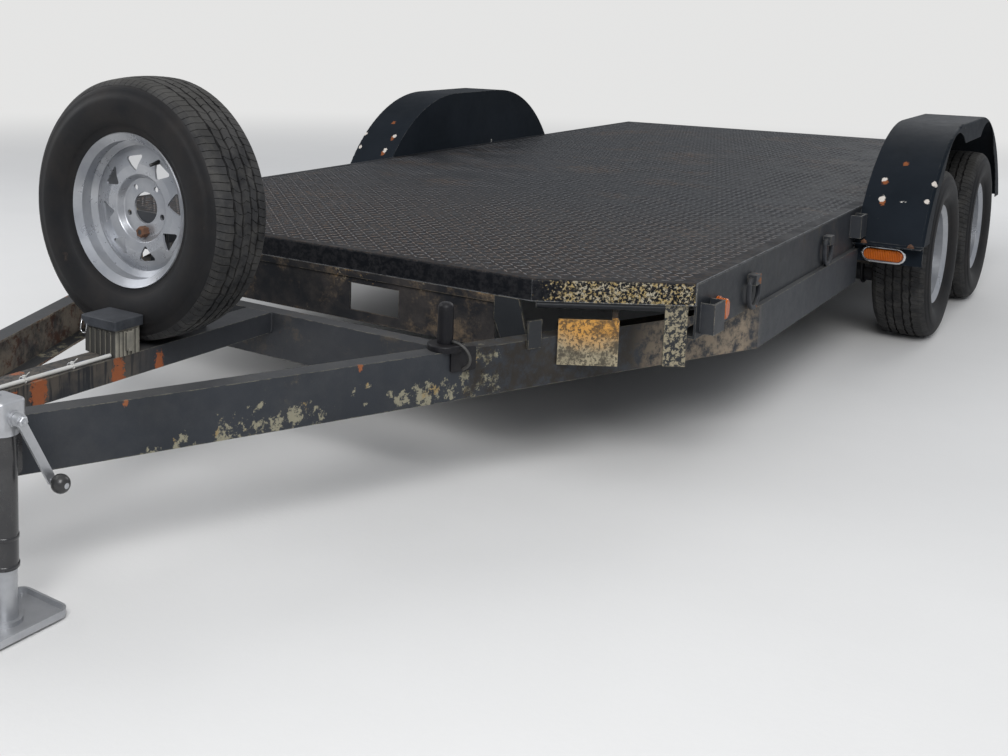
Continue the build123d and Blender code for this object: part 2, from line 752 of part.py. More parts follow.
# Spring hangers: pairs of plates under the rails with their pins, and the equaliser between the springs
cheek = leaf_width / 2 + 2.0
hanger_top = 45.0
hanger_foot = 20.0
hanger_below = 18.0
hanger_corner = 12.0
pin_reach = cheek + hanger_plate + 10.0
equaliser_low = 20.0
equaliser_end = 18.0
equaliser_high = 30.0
equaliser_plate = 6.0
hanger_ys = [axle_ys["front"] - spring_half, axle_mid, axle_ys["rear"] + spring_half]
for side_name, side in sides.items():
    with BuildPart() as spring_hangers:
        for y in hanger_ys:
            spread = cheek + (equaliser_plate + 2 if y == axle_mid else 0)
            for plate_x in (-spread - hanger_plate, spread):
                with BuildSketch(Plane.YZ.offset(side * spring_x + plate_x)):
                    with BuildLine():
                        Polyline(
                            (y - hanger_top, rail_low),
                            (y + hanger_top, rail_low),
                            (y + hanger_foot, eye_z - hanger_below),
                            (y - hanger_foot, eye_z - hanger_below),
                            close=True,
                        )
                    make_face()
                    fillet(vertices().sort_by(Axis.Y)[:2], hanger_corner)
                extrude(amount=hanger_plate)
            with BuildSketch(Plane.YZ.offset(side * spring_x - pin_reach)):
                with Locations((y, eye_z)):
                    Circle(eye_pin)
            extrude(amount=2 * pin_reach)
        # the equaliser's two plates rock on the middle pin and carry the springs' inner eyes
        for plate_x in (-cheek - equaliser_plate, cheek):
            with BuildSketch(Plane.YZ.offset(side * spring_x + plate_x)):
                with BuildLine():
                    inner_eye = axle_gap / 2 - spring_half
                    Polyline(
                        (axle_mid - inner_eye, eye_z - equaliser_low),
                        (axle_mid + inner_eye, eye_z - equaliser_low),
                        (axle_mid + inner_eye + equaliser_end, eye_z),
                        (axle_mid, eye_z + equaliser_high),
                        (axle_mid - inner_eye - equaliser_end, eye_z),
                        close=True,
                    )
                make_face()
            extrude(amount=equaliser_plate)
        with BuildSketch(Plane.YZ.offset(side * spring_x - cheek - equaliser_plate)):
            with Locations((axle_mid - inner_eye, eye_z), (axle_mid + inner_eye, eye_z)):
                Circle(eye_pin)
        extrude(amount=2 * (cheek + equaliser_plate))
    save(spring_hangers, f"spring_hangers_{side_name}")

# Tyres and steel wheels, drawn as half sections: radius up, offset from the middle plane across
rim_seat = rim_radius - 17.0
rim_well = rim_radius - 32.0


tread_half = tyre_half - 29.0
tread_drop = 5.0
liner_radius = tyre_radius - 20.0
liner_half = tyre_half - 35.0


def tyre_side(way):
    """One half of a tyre's section: shoulder, bulging sidewall, bead and inside."""
    shoulder = ThreePointArc(
        (tyre_radius - tread_drop, way * tread_half),
        (tyre_radius - 14, way * (tyre_half - 13)),
        (tyre_radius - 32, way * (tyre_half - 6)),
    )
    wall = ThreePointArc(shoulder @ 1, (rim_radius + 66, way * tyre_half), (rim_radius + 6, way * rim_half))
    bead = Line(wall @ 1, (rim_seat + seat, way * (rim_half - 15)))
    toe = Line(bead @ 1, (rim_seat + seat, way * (rim_half - 30)))
    ThreePointArc(toe @ 1, (rim_radius + 60, way * (tyre_half - 14)), (liner_radius, way * liner_half))


well_half = 20.0
seat_start = 30.0
seat_end = rim_half - 14.0


def rim_side(way):
    """One half of a rim's section: the flange's lip, the bead seat and the step to the well."""
    Polyline(
        (rim_well, way * well_half),
        (rim_seat, way * seat_start),
        (rim_seat, way * seat_end),
        (rim_radius, way * (rim_half - 3)),
        (rim_radius - 2, way * rim_half),
        (rim_seat - rim_wall, way * seat_end),
        (rim_seat - rim_wall, way * (seat_start + 2)),
        (rim_well - rim_wall, way * (well_half + 2)),
    )


def build_tyre(plane):
    with BuildPart() as tyre:
        with BuildSketch(plane):
            with BuildLine():
                tyre_side(1)
                tyre_side(-1)
                ThreePointArc(
                    (tyre_radius - tread_drop, -tread_half),
                    (tyre_radius, 0),
                    (tyre_radius - tread_drop, tread_half),
                )
                Line((liner_radius, -liner_half), (liner_radius, liner_half))
            make_face()
        revolve(axis=Axis(plane.origin, plane.y_dir))
    return tyre


# The disc's section from the hub face over the raised ring to the rim
# columns: radius, distance of the outer face from the middle plane
disc_face = [(hub_bore, 6.0), (76.0, 6.0), (86.0, 24.0), (112.0, 27.0), (148.0, 20.0), (162.0, 16.0)]
# columns: radius, distance of the back face from the middle plane
disc_back = [(hub_bore, 0.0), (80.0, 0.0), (90.0, 18.0), (112.0, 21.0), (147.0, 14.0), (162.0, 10.0)]
disc_bend = 5.0


def build_wheel(plane, outward):
    """A steel wheel: the rim, a pressed disc with eight rounded windows and the stud holes."""
    with BuildPart() as wheel:
        with BuildSketch(plane):
            with BuildLine():
                rim_side(1)
                rim_side(-1)
                Line((rim_well, -well_half), (rim_well, well_half))
                Line((rim_well - rim_wall, -well_half - 2), (rim_well - rim_wall, well_half + 2))
            make_face()
            with BuildLine():
                face = FilletPolyline(
                    *[(radius, outward * out) for radius, out in disc_face], radius=disc_bend
                )
                back_face = FilletPolyline(
                    *[(radius, outward * out) for radius, out in disc_back], radius=disc_bend
                )
                Line(face @ 0, back_face @ 0)
                Line(face @ 1, back_face @ 1)
            make_face()
        revolve(axis=Axis(plane.origin, plane.y_dir))
        disc = Plane(origin=plane.origin, x_dir=plane.x_dir, z_dir=plane.y_dir)
        with BuildSketch(disc):
            with PolarLocations(window_inner, window_count, start_angle=window_turn):
                Polygon((0, 0), (window_depth, window_base / 2), (window_depth, -window_base / 2), align=None)
            fillet(vertices(), window_corner)
        extrude(amount=outward * rim_half, mode=Mode.SUBTRACT)
        with BuildSketch(disc):
            with PolarLocations(bolt_circle, bolt_count, start_angle=180):
                Circle(bolt_hole)
        extrude(amount=outward * well_half, mode=Mode.SUBTRACT)
    return wheel


# Road wheels: tyre and steel wheel, with the drum and its hub behind the disc
hub_wall = 18.0
hub_inner = 60.0
drum_wall = 4.0
drum_web = 20.0
drum_face = 12.0
hub_flange = 70.0
cap_length = 44.0
cap_bend = 10.0
cap_depth = 24.0
for axle_name, y in axle_ys.items():
    for side_name, side in sides.items():
        station = Plane(origin=(side * wheel_plane, y, axle_z), x_dir=(0, 0, 1), z_dir=(0, 1, 0))
        outward = 1 if station.y_dir.X * side > 0 else -1
        save(build_tyre(station), f"tyre_{axle_name}_{side_name}")
        save(build_wheel(station, outward), f"wheel_{axle_name}_{side_name}")
        with BuildPart() as hub:
            with BuildSketch(station):
                with BuildLine():
                    Polyline(
                        (spindle + fit, outward * -hub_inner),
                        (spindle + hub_wall, outward * -hub_inner),
                        (spindle + hub_wall, outward * -drum_web),
                        (drum_radius - drum_wall, outward * -drum_web),
                        (drum_radius - drum_wall, outward * -drum_depth),
                        (drum_radius, outward * -drum_depth),
                        (drum_radius, outward * -drum_face),
                        (hub_flange, outward * -drum_face),
                        (hub_flange, outward * -seat),
                        (hub_bore - 1, outward * -seat),
                        (hub_bore - 1, outward * (cap_length - cap_bend)),
                        (hub_bore - cap_bend, outward * cap_length),
                        (0, outward * cap_length),
                        (0, outward * cap_depth),
                        (spindle + fit, outward * cap_depth),
                        close=True,
                    )
                make_face()
            revolve(axis=Axis(station.origin, station.y_dir))
        save(hub, f"hub_{axle_name}_{side_name}")

# Spare wheel, upright on the centre beam, its outer face forward
spare_station = Plane(origin=(spare_x, spare_y, spare_z), x_dir=(0, 0, 1), z_dir=(1, 0, 0))
spare_outward = 1 if spare_station.y_dir.Y < 0 else -1
save(build_tyre(spare_station), "spare_tyre")
save(build_wheel(spare_station, spare_outward), "spare_wheel")

# Spare mount: a post on the beam behind the tyre, an arm into the wheel, its plate, one stud and the nut
mount_wall = 8.0
mount_width = 132.0
mount_height = 96.0
mount_drop = 60.0
stud_radius = 6.0
stud_length = 28.0
nut_radius = 12.5
nut_height = 18.0
post_y = spare_y + tyre_half + 10 + post / 2
plate_y = spare_y + seat
with BuildPart() as spare_mount:
    with BuildSketch(Plane.XY.offset(rail_low)):
        with Locations((post_x, post_y)):
            RectangleRounded(post, post, 6)
    extrude(amount=tyre_radius - mount_drop + post / 2)
    with BuildSketch(cross_section(plate_y)):
        with Locations((post_x, spare_z - mount_drop)):
            Rectangle(post, post)
    extrude(amount=-(post_y - plate_y))
    with BuildSketch(cross_section(plate_y)):
        with Locations((spare_x, spare_z - mount_drop)):
            RectangleRounded(mount_width, mount_height, nut_radius)
    extrude(amount=-mount_wall)
    with BuildSketch(cross_section(plate_y + mount_wall)):
        with Locations((spare_x, spare_z - bolt_circle)):
            Circle(stud_radius)
    extrude(amount=mount_wall + stud_length)
    with BuildSketch(cross_section(spare_y - disc_face[0][1] - seat)):
        with Locations((spare_x, spare_z - bolt_circle)):
            RegularPolygon(nut_radius, 6)
    extrude(amount=nut_height)
save(spare_mount, "spare_mount")

# Battery box on the centre beam: tapered walls with upright ribs
box_middle_y = deck_front + box_back
box_low = rail_low + seat
box_top = box_low + box_height
rib = 3.0
rib_count = 5
rib_width = 8.0
rib_inset = 24.0
box_bend = 6.0
with BuildPart() as battery_box:
    with BuildSketch(Plane.XY.offset(box_low)):
        with Locations((box_x, box_middle_y)):
            RectangleRounded(box_width - 2 * rib, box_length - 2 * rib, box_bend)
    extrude(amount=box_height)
    for number in range(rib_count):
        share = (number + 0.5) / rib_count - 0.5
        with BuildSketch(Plane.XY.offset(box_low)):
            with Locations((box_x, box_middle_y + share * (box_length - rib_inset))):
                Rectangle(box_width, rib_width)
            with Locations((box_x + share * (box_width - rib_inset), box_middle_y)):
                Rectangle(rib_width, box_length)
        extrude(amount=box_height - lid_skirt - box_bend)
save(battery_box, "battery_box")

# Battery box lid, with a skirt on the three sides away from its hinge
lid_low = box_top + seat
lid_length = box_length + 8.0
lid_width = box_width + 8.0
lid_bend = 8.0
hinge_strip = 24.0
with BuildPart() as box_lid:
    with BuildSketch(Plane.XY.offset(lid_low)):
        with Locations((box_x, box_middle_y)):
            RectangleRounded(lid_width, lid_length, lid_bend)
    extrude(amount=lid_height)
    fillet(box_lid.edges().group_by(Axis.Z)[-1], rib)
    with BuildSketch(Plane.XY.offset(lid_low - lid_skirt)):
        with Locations((box_x, box_middle_y)):
            RectangleRounded(lid_width, lid_length, lid_bend)
        with Locations((box_x, box_middle_y)):
            Rectangle(
                box_width - 2 * rib + 2 * lid_gap, box_length - 2 * rib + 2 * lid_gap, mode=Mode.SUBTRACT
            )
        with Locations((box_x - box_width / 2, box_middle_y)):
            Rectangle(hinge_strip, lid_length + 2, mode=Mode.SUBTRACT)
    extrude(amount=lid_skirt)
save(box_lid, "box_lid")

# Jack beside the near tongue rail: an outer tube with a cast head, carried by a pivot bracket
with BuildPart() as jack_tube:
    with BuildSketch(Plane.XY.offset(jack_tube_low)):
        with Locations((jack_x, jack_y)):
            Circle(jack_radius)
            Circle(jack_radius - jack_wall, mode=Mode.SUBTRACT)
    extrude(amount=jack_tube_high - jack_tube_low)
save(jack_tube, "jack_tube")

# Jack bracket: a plate bolted to the rail's web and a short pivot tube out to the jack
bracket_z = 330.0
bracket_plate = 8.0
pivot_radius = 32.0
pivot_rim = 7.0
pivot_flange = 4.0
bracket_length = 120.0
bracket_width = 110.0
web_out = Vector(cos(radians(tongue_turn)), -sin(radians(tongue_turn)), 0)
jack_middle = Vector(jack_x, jack_y, 0)
jack_reach = (jack_x - rail_outer(jack_y)) * cos(radians(tongue_turn)) - jack_radius - seat
bracket_foot = jack_middle - web_out * (jack_radius + jack_reach) + Vector(0, 0, bracket_z)
with BuildPart() as jack_bracket:
    with BuildSketch(Plane(origin=bracket_foot + web_out * seat, x_dir=(0, 0, 1), z_dir=web_out)):
        RectangleRounded(bracket_width, bracket_length, 10)
    extrude(amount=bracket_plate)
    with BuildSketch(Plane(origin=bracket_foot + web_out * seat, x_dir=(0, 0, 1), z_dir=web_out)):
        Circle(pivot_radius)
    extrude(amount=jack_reach - seat - pivot_flange)
    flange_foot = bracket_foot + web_out * (jack_reach - pivot_flange - seat)
    with BuildSketch(Plane(origin=flange_foot, x_dir=(0, 0, 1), z_dir=web_out)):
        Circle(pivot_radius + pivot_rim)
    extrude(amount=pivot_flange)
save(jack_bracket, "jack_bracket")

# Jack head: the gear housing over the tube, with a domed top and the crank's boss
head_height = 58.0
head_length = 66.0
head_width = 74.0
head_bend = 12.0
head_collar = 14.0
collar_wall = 5.0
boss_reach = 43.0
boss_radius = 16.0
crank_z = 432.0
with BuildPart() as jack_head:
    with BuildSketch(Plane.XY.offset(jack_tube_high)):
        with Locations((jack_x, jack_y)):
            RectangleRounded(head_width, head_length, head_bend)
    extrude(amount=head_height)
    fillet(jack_head.edges().group_by(Axis.Z)[-1], head_bend * 2 / 3)
    with BuildSketch(Plane.YZ.offset(jack_x)):
        with Locations((jack_y, crank_z)):
            Circle(boss_radius)
    extrude(amount=boss_reach)
    with BuildSketch(Plane.XY.offset(jack_tube_high - head_collar)):
        with Locations((jack_x, jack_y)):
            Circle(jack_radius + collar_wall)
            Circle(jack_radius + seat, mode=Mode.SUBTRACT)
    extrude(amount=head_collar)
save(jack_head, "jack_head")

# Jack crank: a hub on the boss, a flat arm hanging down and back, and its round knob
crank_x = jack_x + boss_reach + seat
crank_hub = 14.0
crank_hub_radius = 13.0
arm_width = 19.0
knob_stem = 6.0
knob_stand = 4.0
arm_wall = 7.0
arm_back = 77.0
arm_drop = 144.0
knob_radius = 19.0
with BuildPart() as jack_crank:
    with BuildSketch(Plane.YZ.offset(crank_x)):
        with Locations((jack_y, crank_z)):
            Circle(crank_hub_radius)
    extrude(amount=crank_hub)
    with BuildSketch(Plane.YZ.offset(crank_x + crank_hub - arm_wall)):
        with Locations((jack_y + arm_back / 2, crank_z - arm_drop / 2)):
            SlotCenterToCenter(
                hypot(arm_back, arm_drop), arm_width, rotation=degrees(atan2(-arm_drop, arm_back))
            )
    extrude(amount=arm_wall)
    with BuildSketch(Plane.YZ.offset(crank_x + crank_hub - arm_wall)):
        with Locations((jack_y + arm_back, crank_z - arm_drop)):
            Circle(knob_stem)
    extrude(amount=arm_wall + 2 * knob_stand)
    with Locations((crank_x + crank_hub + knob_stand + knob_radius, jack_y + arm_back, crank_z - arm_drop)):
        Sphere(knob_radius)
save(jack_crank, "jack_crank")

# Jack leg: the inner tube and a dished foot plate
leg_high = 308.0
leg_wall = 4.0
foot_wall = 6.0
foot_lip = 12.0
foot_corner = 24.0
foot_collar = 9.0
with BuildPart() as jack_leg:
    with BuildSketch(Plane.XY):
        with Locations((jack_x, jack_y)):
            RectangleRounded(foot_width, foot_length, foot_corner)
    extrude(amount=foot_wall + foot_lip)
    fillet(jack_leg.edges().group_by(Axis.Z)[0], 4)
    with BuildSketch(Plane.XY.offset(foot_wall)):
        with Locations((jack_x, jack_y)):
            RectangleRounded(foot_width - 2 * foot_wall, foot_length - 2 * foot_wall, foot_corner - foot_wall)
    extrude(amount=foot_lip, mode=Mode.SUBTRACT)
    with BuildSketch(Plane.XY.offset(foot_wall)):
        with Locations((jack_x, jack_y)):
            Circle(leg_radius)
            Circle(leg_radius - leg_wall, mode=Mode.SUBTRACT)
    extrude(amount=leg_high - foot_wall)
    with BuildSketch(Plane.XY.offset(foot_wall)):
        with Locations((jack_x, jack_y)):
            Circle(leg_radius + foot_collar)
            Circle(leg_radius - leg_wall, mode=Mode.SUBTRACT)
    extrude(amount=foot_collar)
save(jack_leg, "jack_leg")

# Wiring lead clipped along the centre beam's top, from the battery box to the beam's front end
lead_radius = 5.0
lead_x = 30.0
lead_front = deck_front - beam_reach + 40
with BuildPart() as wiring_lead:
    with BuildSketch(cross_section(lead_front)):
        with Locations((lead_x, rail_low + lead_radius + seat)):
            Circle(lead_radius)
    extrude(amount=-(box_middle_y - box_length / 2 - 1 - lead_front))
save(wiring_lead, "wiring_lead")

# Deck stop: a domed housing on a round foot over the tongue rail, with a bracket down the rail's web
stop_y = deck_front - 262.0
stop_in = 30.0
stop_foot = 44.0
stop_rise = 16.0
stop_radius = 20.0
stop_height = 104.0
stop_bend = 15.0
bracket_drop = 22.0
bracket_back = 20.0
with BuildPart() as stop_housing:
    with BuildSketch(Plane.XY.offset(rail_low)):
        with Locations((rail_outer(stop_y) - stop_in, stop_y)):
            Circle(stop_foot)
    extrude(amount=stop_rise)
    fillet(stop_housing.edges().group_by(Axis.Z)[-1], 5)
    with BuildSketch(Plane.XY.offset(rail_low + stop_rise)):
        with Locations((rail_outer(stop_y) - stop_in, stop_y)):
            Circle(stop_radius)
    extrude(amount=stop_height)
    fillet(stop_housing.edges().group_by(Axis.Z)[-1], stop_bend)
    bracket_face = Vector(
        rail_outer(stop_y + bracket_back) + seat, stop_y + bracket_back, rail_low - bracket_drop
    )
    web_along = Vector(sin(radians(tongue_turn)), cos(radians(tongue_turn)), 0)
    with BuildSketch(Plane(origin=bracket_face, x_dir=web_along, z_dir=web_out)):
        RectangleRounded(76, 60, 5)
    extrude(amount=6)
save(stop_housing, "stop_housing")
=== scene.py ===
import logging
import math
import random
from dataclasses import dataclass
from enum import Enum
from functools import reduce
from typing import Callable, Iterable, Optional, Sequence

import bpy
from mathutils import Matrix, Vector


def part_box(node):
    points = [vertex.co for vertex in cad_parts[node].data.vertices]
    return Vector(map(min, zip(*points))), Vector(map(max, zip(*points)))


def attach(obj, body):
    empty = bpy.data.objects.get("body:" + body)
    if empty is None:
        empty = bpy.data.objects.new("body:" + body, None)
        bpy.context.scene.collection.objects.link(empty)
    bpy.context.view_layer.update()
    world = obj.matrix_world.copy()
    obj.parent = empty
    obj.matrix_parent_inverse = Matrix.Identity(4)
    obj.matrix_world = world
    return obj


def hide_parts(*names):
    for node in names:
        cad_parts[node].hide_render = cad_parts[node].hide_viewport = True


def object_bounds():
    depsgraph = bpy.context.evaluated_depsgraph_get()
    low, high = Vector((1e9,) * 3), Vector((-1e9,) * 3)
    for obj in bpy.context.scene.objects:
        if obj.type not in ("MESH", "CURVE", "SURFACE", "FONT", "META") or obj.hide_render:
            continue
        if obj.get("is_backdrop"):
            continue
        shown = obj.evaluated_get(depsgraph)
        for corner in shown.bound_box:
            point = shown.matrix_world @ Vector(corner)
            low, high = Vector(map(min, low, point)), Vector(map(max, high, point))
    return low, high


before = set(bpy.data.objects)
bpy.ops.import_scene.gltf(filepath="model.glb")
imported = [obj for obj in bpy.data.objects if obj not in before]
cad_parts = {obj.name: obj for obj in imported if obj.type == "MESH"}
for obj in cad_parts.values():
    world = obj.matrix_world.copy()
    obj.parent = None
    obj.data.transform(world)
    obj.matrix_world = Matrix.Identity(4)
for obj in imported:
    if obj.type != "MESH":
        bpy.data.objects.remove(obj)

LOG = logging.getLogger("car trailer")
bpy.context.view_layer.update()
CHASSIS = "chassis"
DECK_FRONT = -1.545
STUD_CIRCLE = 0.0603
FORWARD = Vector((0.0, -1.0, 0.0))
LEFT = Vector((1.0, 0.0, 0.0))
UP = Vector((0.0, 0.0, 1.0))
SIDES: dict[str, int] = {"left": 1, "right": -1}

Colour = tuple[float, float, float]
Point = tuple[float, float, float]
Spot = tuple[float, float, float, float]


class Level:
    """A node's output, with arithmetic whose results are held between 0 and 1."""

    def __init__(self, board: "NodeBoard", socket: bpy.types.NodeSocket) -> None:
        """Hold a socket and the board that it is on."""
        self.board = board
        self.socket = socket

    def __mul__(self, other: object) -> "Level":
        """The product of two levels."""
        return self.board.math("MULTIPLY", self, other)

    def __add__(self, other: object) -> "Level":
        """The sum of two levels."""
        return self.board.math("ADD", self, other)

    def __sub__(self, other: object) -> "Level":
        """The difference of two levels."""
        return self.board.math("SUBTRACT", self, other)

    def __rsub__(self, other: float) -> "Level":
        """What is left of a number when the level is taken away."""
        return self.board.math("SUBTRACT", other, self)

    def __or__(self, other: "Level") -> "Level":
        """The greater of two levels."""
        return self.board.math("MAXIMUM", self, other)

    def band(self, low: float, high: float) -> "Level":
        """A smooth step of the level from 0 to 1.

        Args:
            low: Where the step starts.
            high: Where it ends, below low for a falling step.

        Returns:
            The stepped level.
        """
        made = self.board.node("MapRange", self, min(low, high), max(low, high), float(high <= low), float(high > low))
        made.interpolation_type = "SMOOTHSTEP"
        return Level(self.board, made.outputs["Result"])


class NodeTree:
    """A node tree with short calls to add and link nodes."""

    def __init__(self, tree: bpy.types.NodeTree) -> None:
        """Empty a tree."""
        self.tree = tree
        self.tree.nodes.clear()

    def node(self, kind: str, *values: object, **named: object) -> bpy.types.Node:
        """Add a node and fill or link its inputs.

        Args:
            kind: The node's class name without its ShaderNode.
            values: Values or sockets of the first inputs, in order.
            named: Values or sockets by input name.

        Returns:
            The new node.
        """
        made = self.tree.nodes.new("ShaderNode" + kind)
        for key, value in [*enumerate(values), *named.items()]:
            self.feed(made.inputs[key], value)
        return made

    def feed(self, socket: bpy.types.NodeSocket, value: object) -> None:
        """Link a level or a socket into an input, or set its constant.

        Args:
            socket: The input to fill.
            value: A level, a socket, a number or a colour.
        """
        if isinstance(value, Level):
            value = value.socket
        if isinstance(value, bpy.types.NodeSocket):
            self.tree.links.new(value, socket)
        elif isinstance(value, tuple) and len(value) == 3 and len(socket.default_value) == 4:
            socket.default_value = (*value, 1.0)
        else:
            socket.default_value = value


class NodeBoard(NodeTree):
    """A material's node tree with the nodes that the finishes share."""

    def __init__(self, name: str) -> None:
        """Start an empty material.

        Args:
            name: The material's name.
        """
        self.material = bpy.data.materials.new(name)
        self.material.use_nodes = True
        super().__init__(self.material.node_tree)
        self.shader = self.node("BsdfPrincipled")
        self.output = self.node("OutputMaterial", self.shader.outputs["BSDF"])
        self.coords = self.node("TexCoord").outputs["Object"]
        self.normal = self.node("NewGeometry").outputs["Normal"]

    def math(self, operation: str, *values: object, clamp: bool = True) -> Level:
        """Combine values.

        Args:
            operation: The Math node's operation.
            values: Levels or numbers.
            clamp: Whether the result is held between 0 and 1.

        Returns:
            The result.
        """
        made = self.node("Math", *values)
        made.operation = operation
        made.use_clamp = clamp
        return Level(self, made.outputs[0])

    def measure(self, operation: str, *vectors: object) -> Level:
        """Turn vectors into a number.

        Args:
            operation: The Vector Math node's operation.
            vectors: Sockets or points.

        Returns:
            The number.
        """
        made = self.node("VectorMath", *vectors)
        made.operation = operation
        return Level(self, made.outputs["Value"])

    def stretched(self, scale: Point) -> Level:
        """The object's own coordinates, scaled along x, y and z."""
        return Level(self, self.node("Mapping", Vector=self.coords, Scale=scale).outputs["Vector"])

    def noise(self, scale: float, detail: float = 4.0, rough: float = 0.6, at: Optional[Level] = None) -> Level:
        """Fractal noise between 0 and 1.

        Args:
            scale: Cells per metre.
            detail: Number of octaves.
            rough: How strong the fine octaves are.
            at: Coordinates, or None for the object's own.

        Returns:
            The noise.
        """
        made = self.node("TexNoise", Vector=at or self.coords, Scale=scale, Detail=detail, Roughness=rough)
        return Level(self, made.outputs["Fac"])

    def mix(self, factor: object, under: object, over: object) -> Level:
        """Lay one colour over another.

        Args:
            factor: How much of the upper colour shows.
            under: The lower colour.
            over: The upper colour.

        Returns:
            The mixed colour.
        """
        made = self.node("Mix")
        made.data_type = "RGBA"
        for number, value in ((0, factor), (6, under), (7, over)):
            self.feed(made.inputs[number], value)
        return Level(self, made.outputs[2])

    def part(self, vector: bpy.types.NodeSocket, axis: str) -> Level:
        """One coordinate of a vector."""
        return Level(self, self.node("SeparateXYZ", vector).outputs[axis])

    def along(self, axis: str) -> Level:
        """One of the object's own coordinates, in metres."""
        return self.part(self.coords, axis)

    def width(self) -> Level:
        """The distance from the trailer's middle plane, in metres."""
        return self.math("ABSOLUTE", self.along("X"), clamp=False)

    def facing_up(self) -> Level:
        """How far a surface faces up, from 0 to 1."""
        return self.part(self.normal, "Z").band(0.35, 0.95)

    def forward(self) -> Level:
        """Where a surface faces the trailer's front."""
        return self.part(self.normal, "Y").band(-0.5, -0.8)

    def inward(self) -> Level:
        """Where a surface faces the trailer's middle plane."""
        return self.math("MULTIPLY", self.along("X"), self.part(self.normal, "X"), clamp=False).band(-0.02, -0.05)

    def edges(self, width: float) -> Level:
        """How near a surface is to a sharp edge, from 0 to 1.

        Args:
            width: How far in from the edge it reaches, in metres.

        Returns:
            The edge's mask.
        """
        rounded = self.node("Bevel", Radius=width)
        rounded.samples = 4
        return self.measure("DOT_PRODUCT", rounded.outputs["Normal"], self.normal).band(0.985, 0.86)

    def spots(self, places: Sequence[Spot]) -> Level:
        """Ragged spots on both sides of the trailer.

        Args:
            places: Each spot's distance from the middle plane, y, height and radius in metres.

        Returns:
            The spots' mask.
        """
        ragged = self.noise(105.0, 5.0, 0.74)
        upright = 0.45
        here = self.node("CombineXYZ", self.width(), self.along("Y"), self.along("Z") * upright).outputs["Vector"]
        reaches = [self.measure("DISTANCE", here, (x, y, z * upright)) * (0.5 / radius) for x, y, z, radius in places]
        return reduce(Level.__or__, [(reach * 0.7 + ragged).band(0.87, 0.83) for reach in reaches])

    def relief(self, height: Level, strength: float, distance: float) -> None:
        """Press a height pattern into the surface.

        Args:
            height: The pattern.
            strength: Its share, from 0 to 1.
            distance: Its depth in metres.
        """
        made = self.node("Bump", Height=height, Strength=strength, Distance=distance)
        self.feed(self.shader.inputs["Normal"], made.outputs["Normal"])

    def surface(self, colour: object, roughness: object, **others: object) -> bpy.types.Material:
        """Feed the shader and hand back the material.

        Args:
            colour: The base colour.
            roughness: The roughness.
            others: The shader's other inputs by name, with _ for a space.

        Returns:
            The finished material.
        """
        for name, value in {"Base Color": colour, "Roughness": roughness, **others}.items():
            self.feed(self.shader.inputs[name.replace("_", " ")], value)
        return self.material


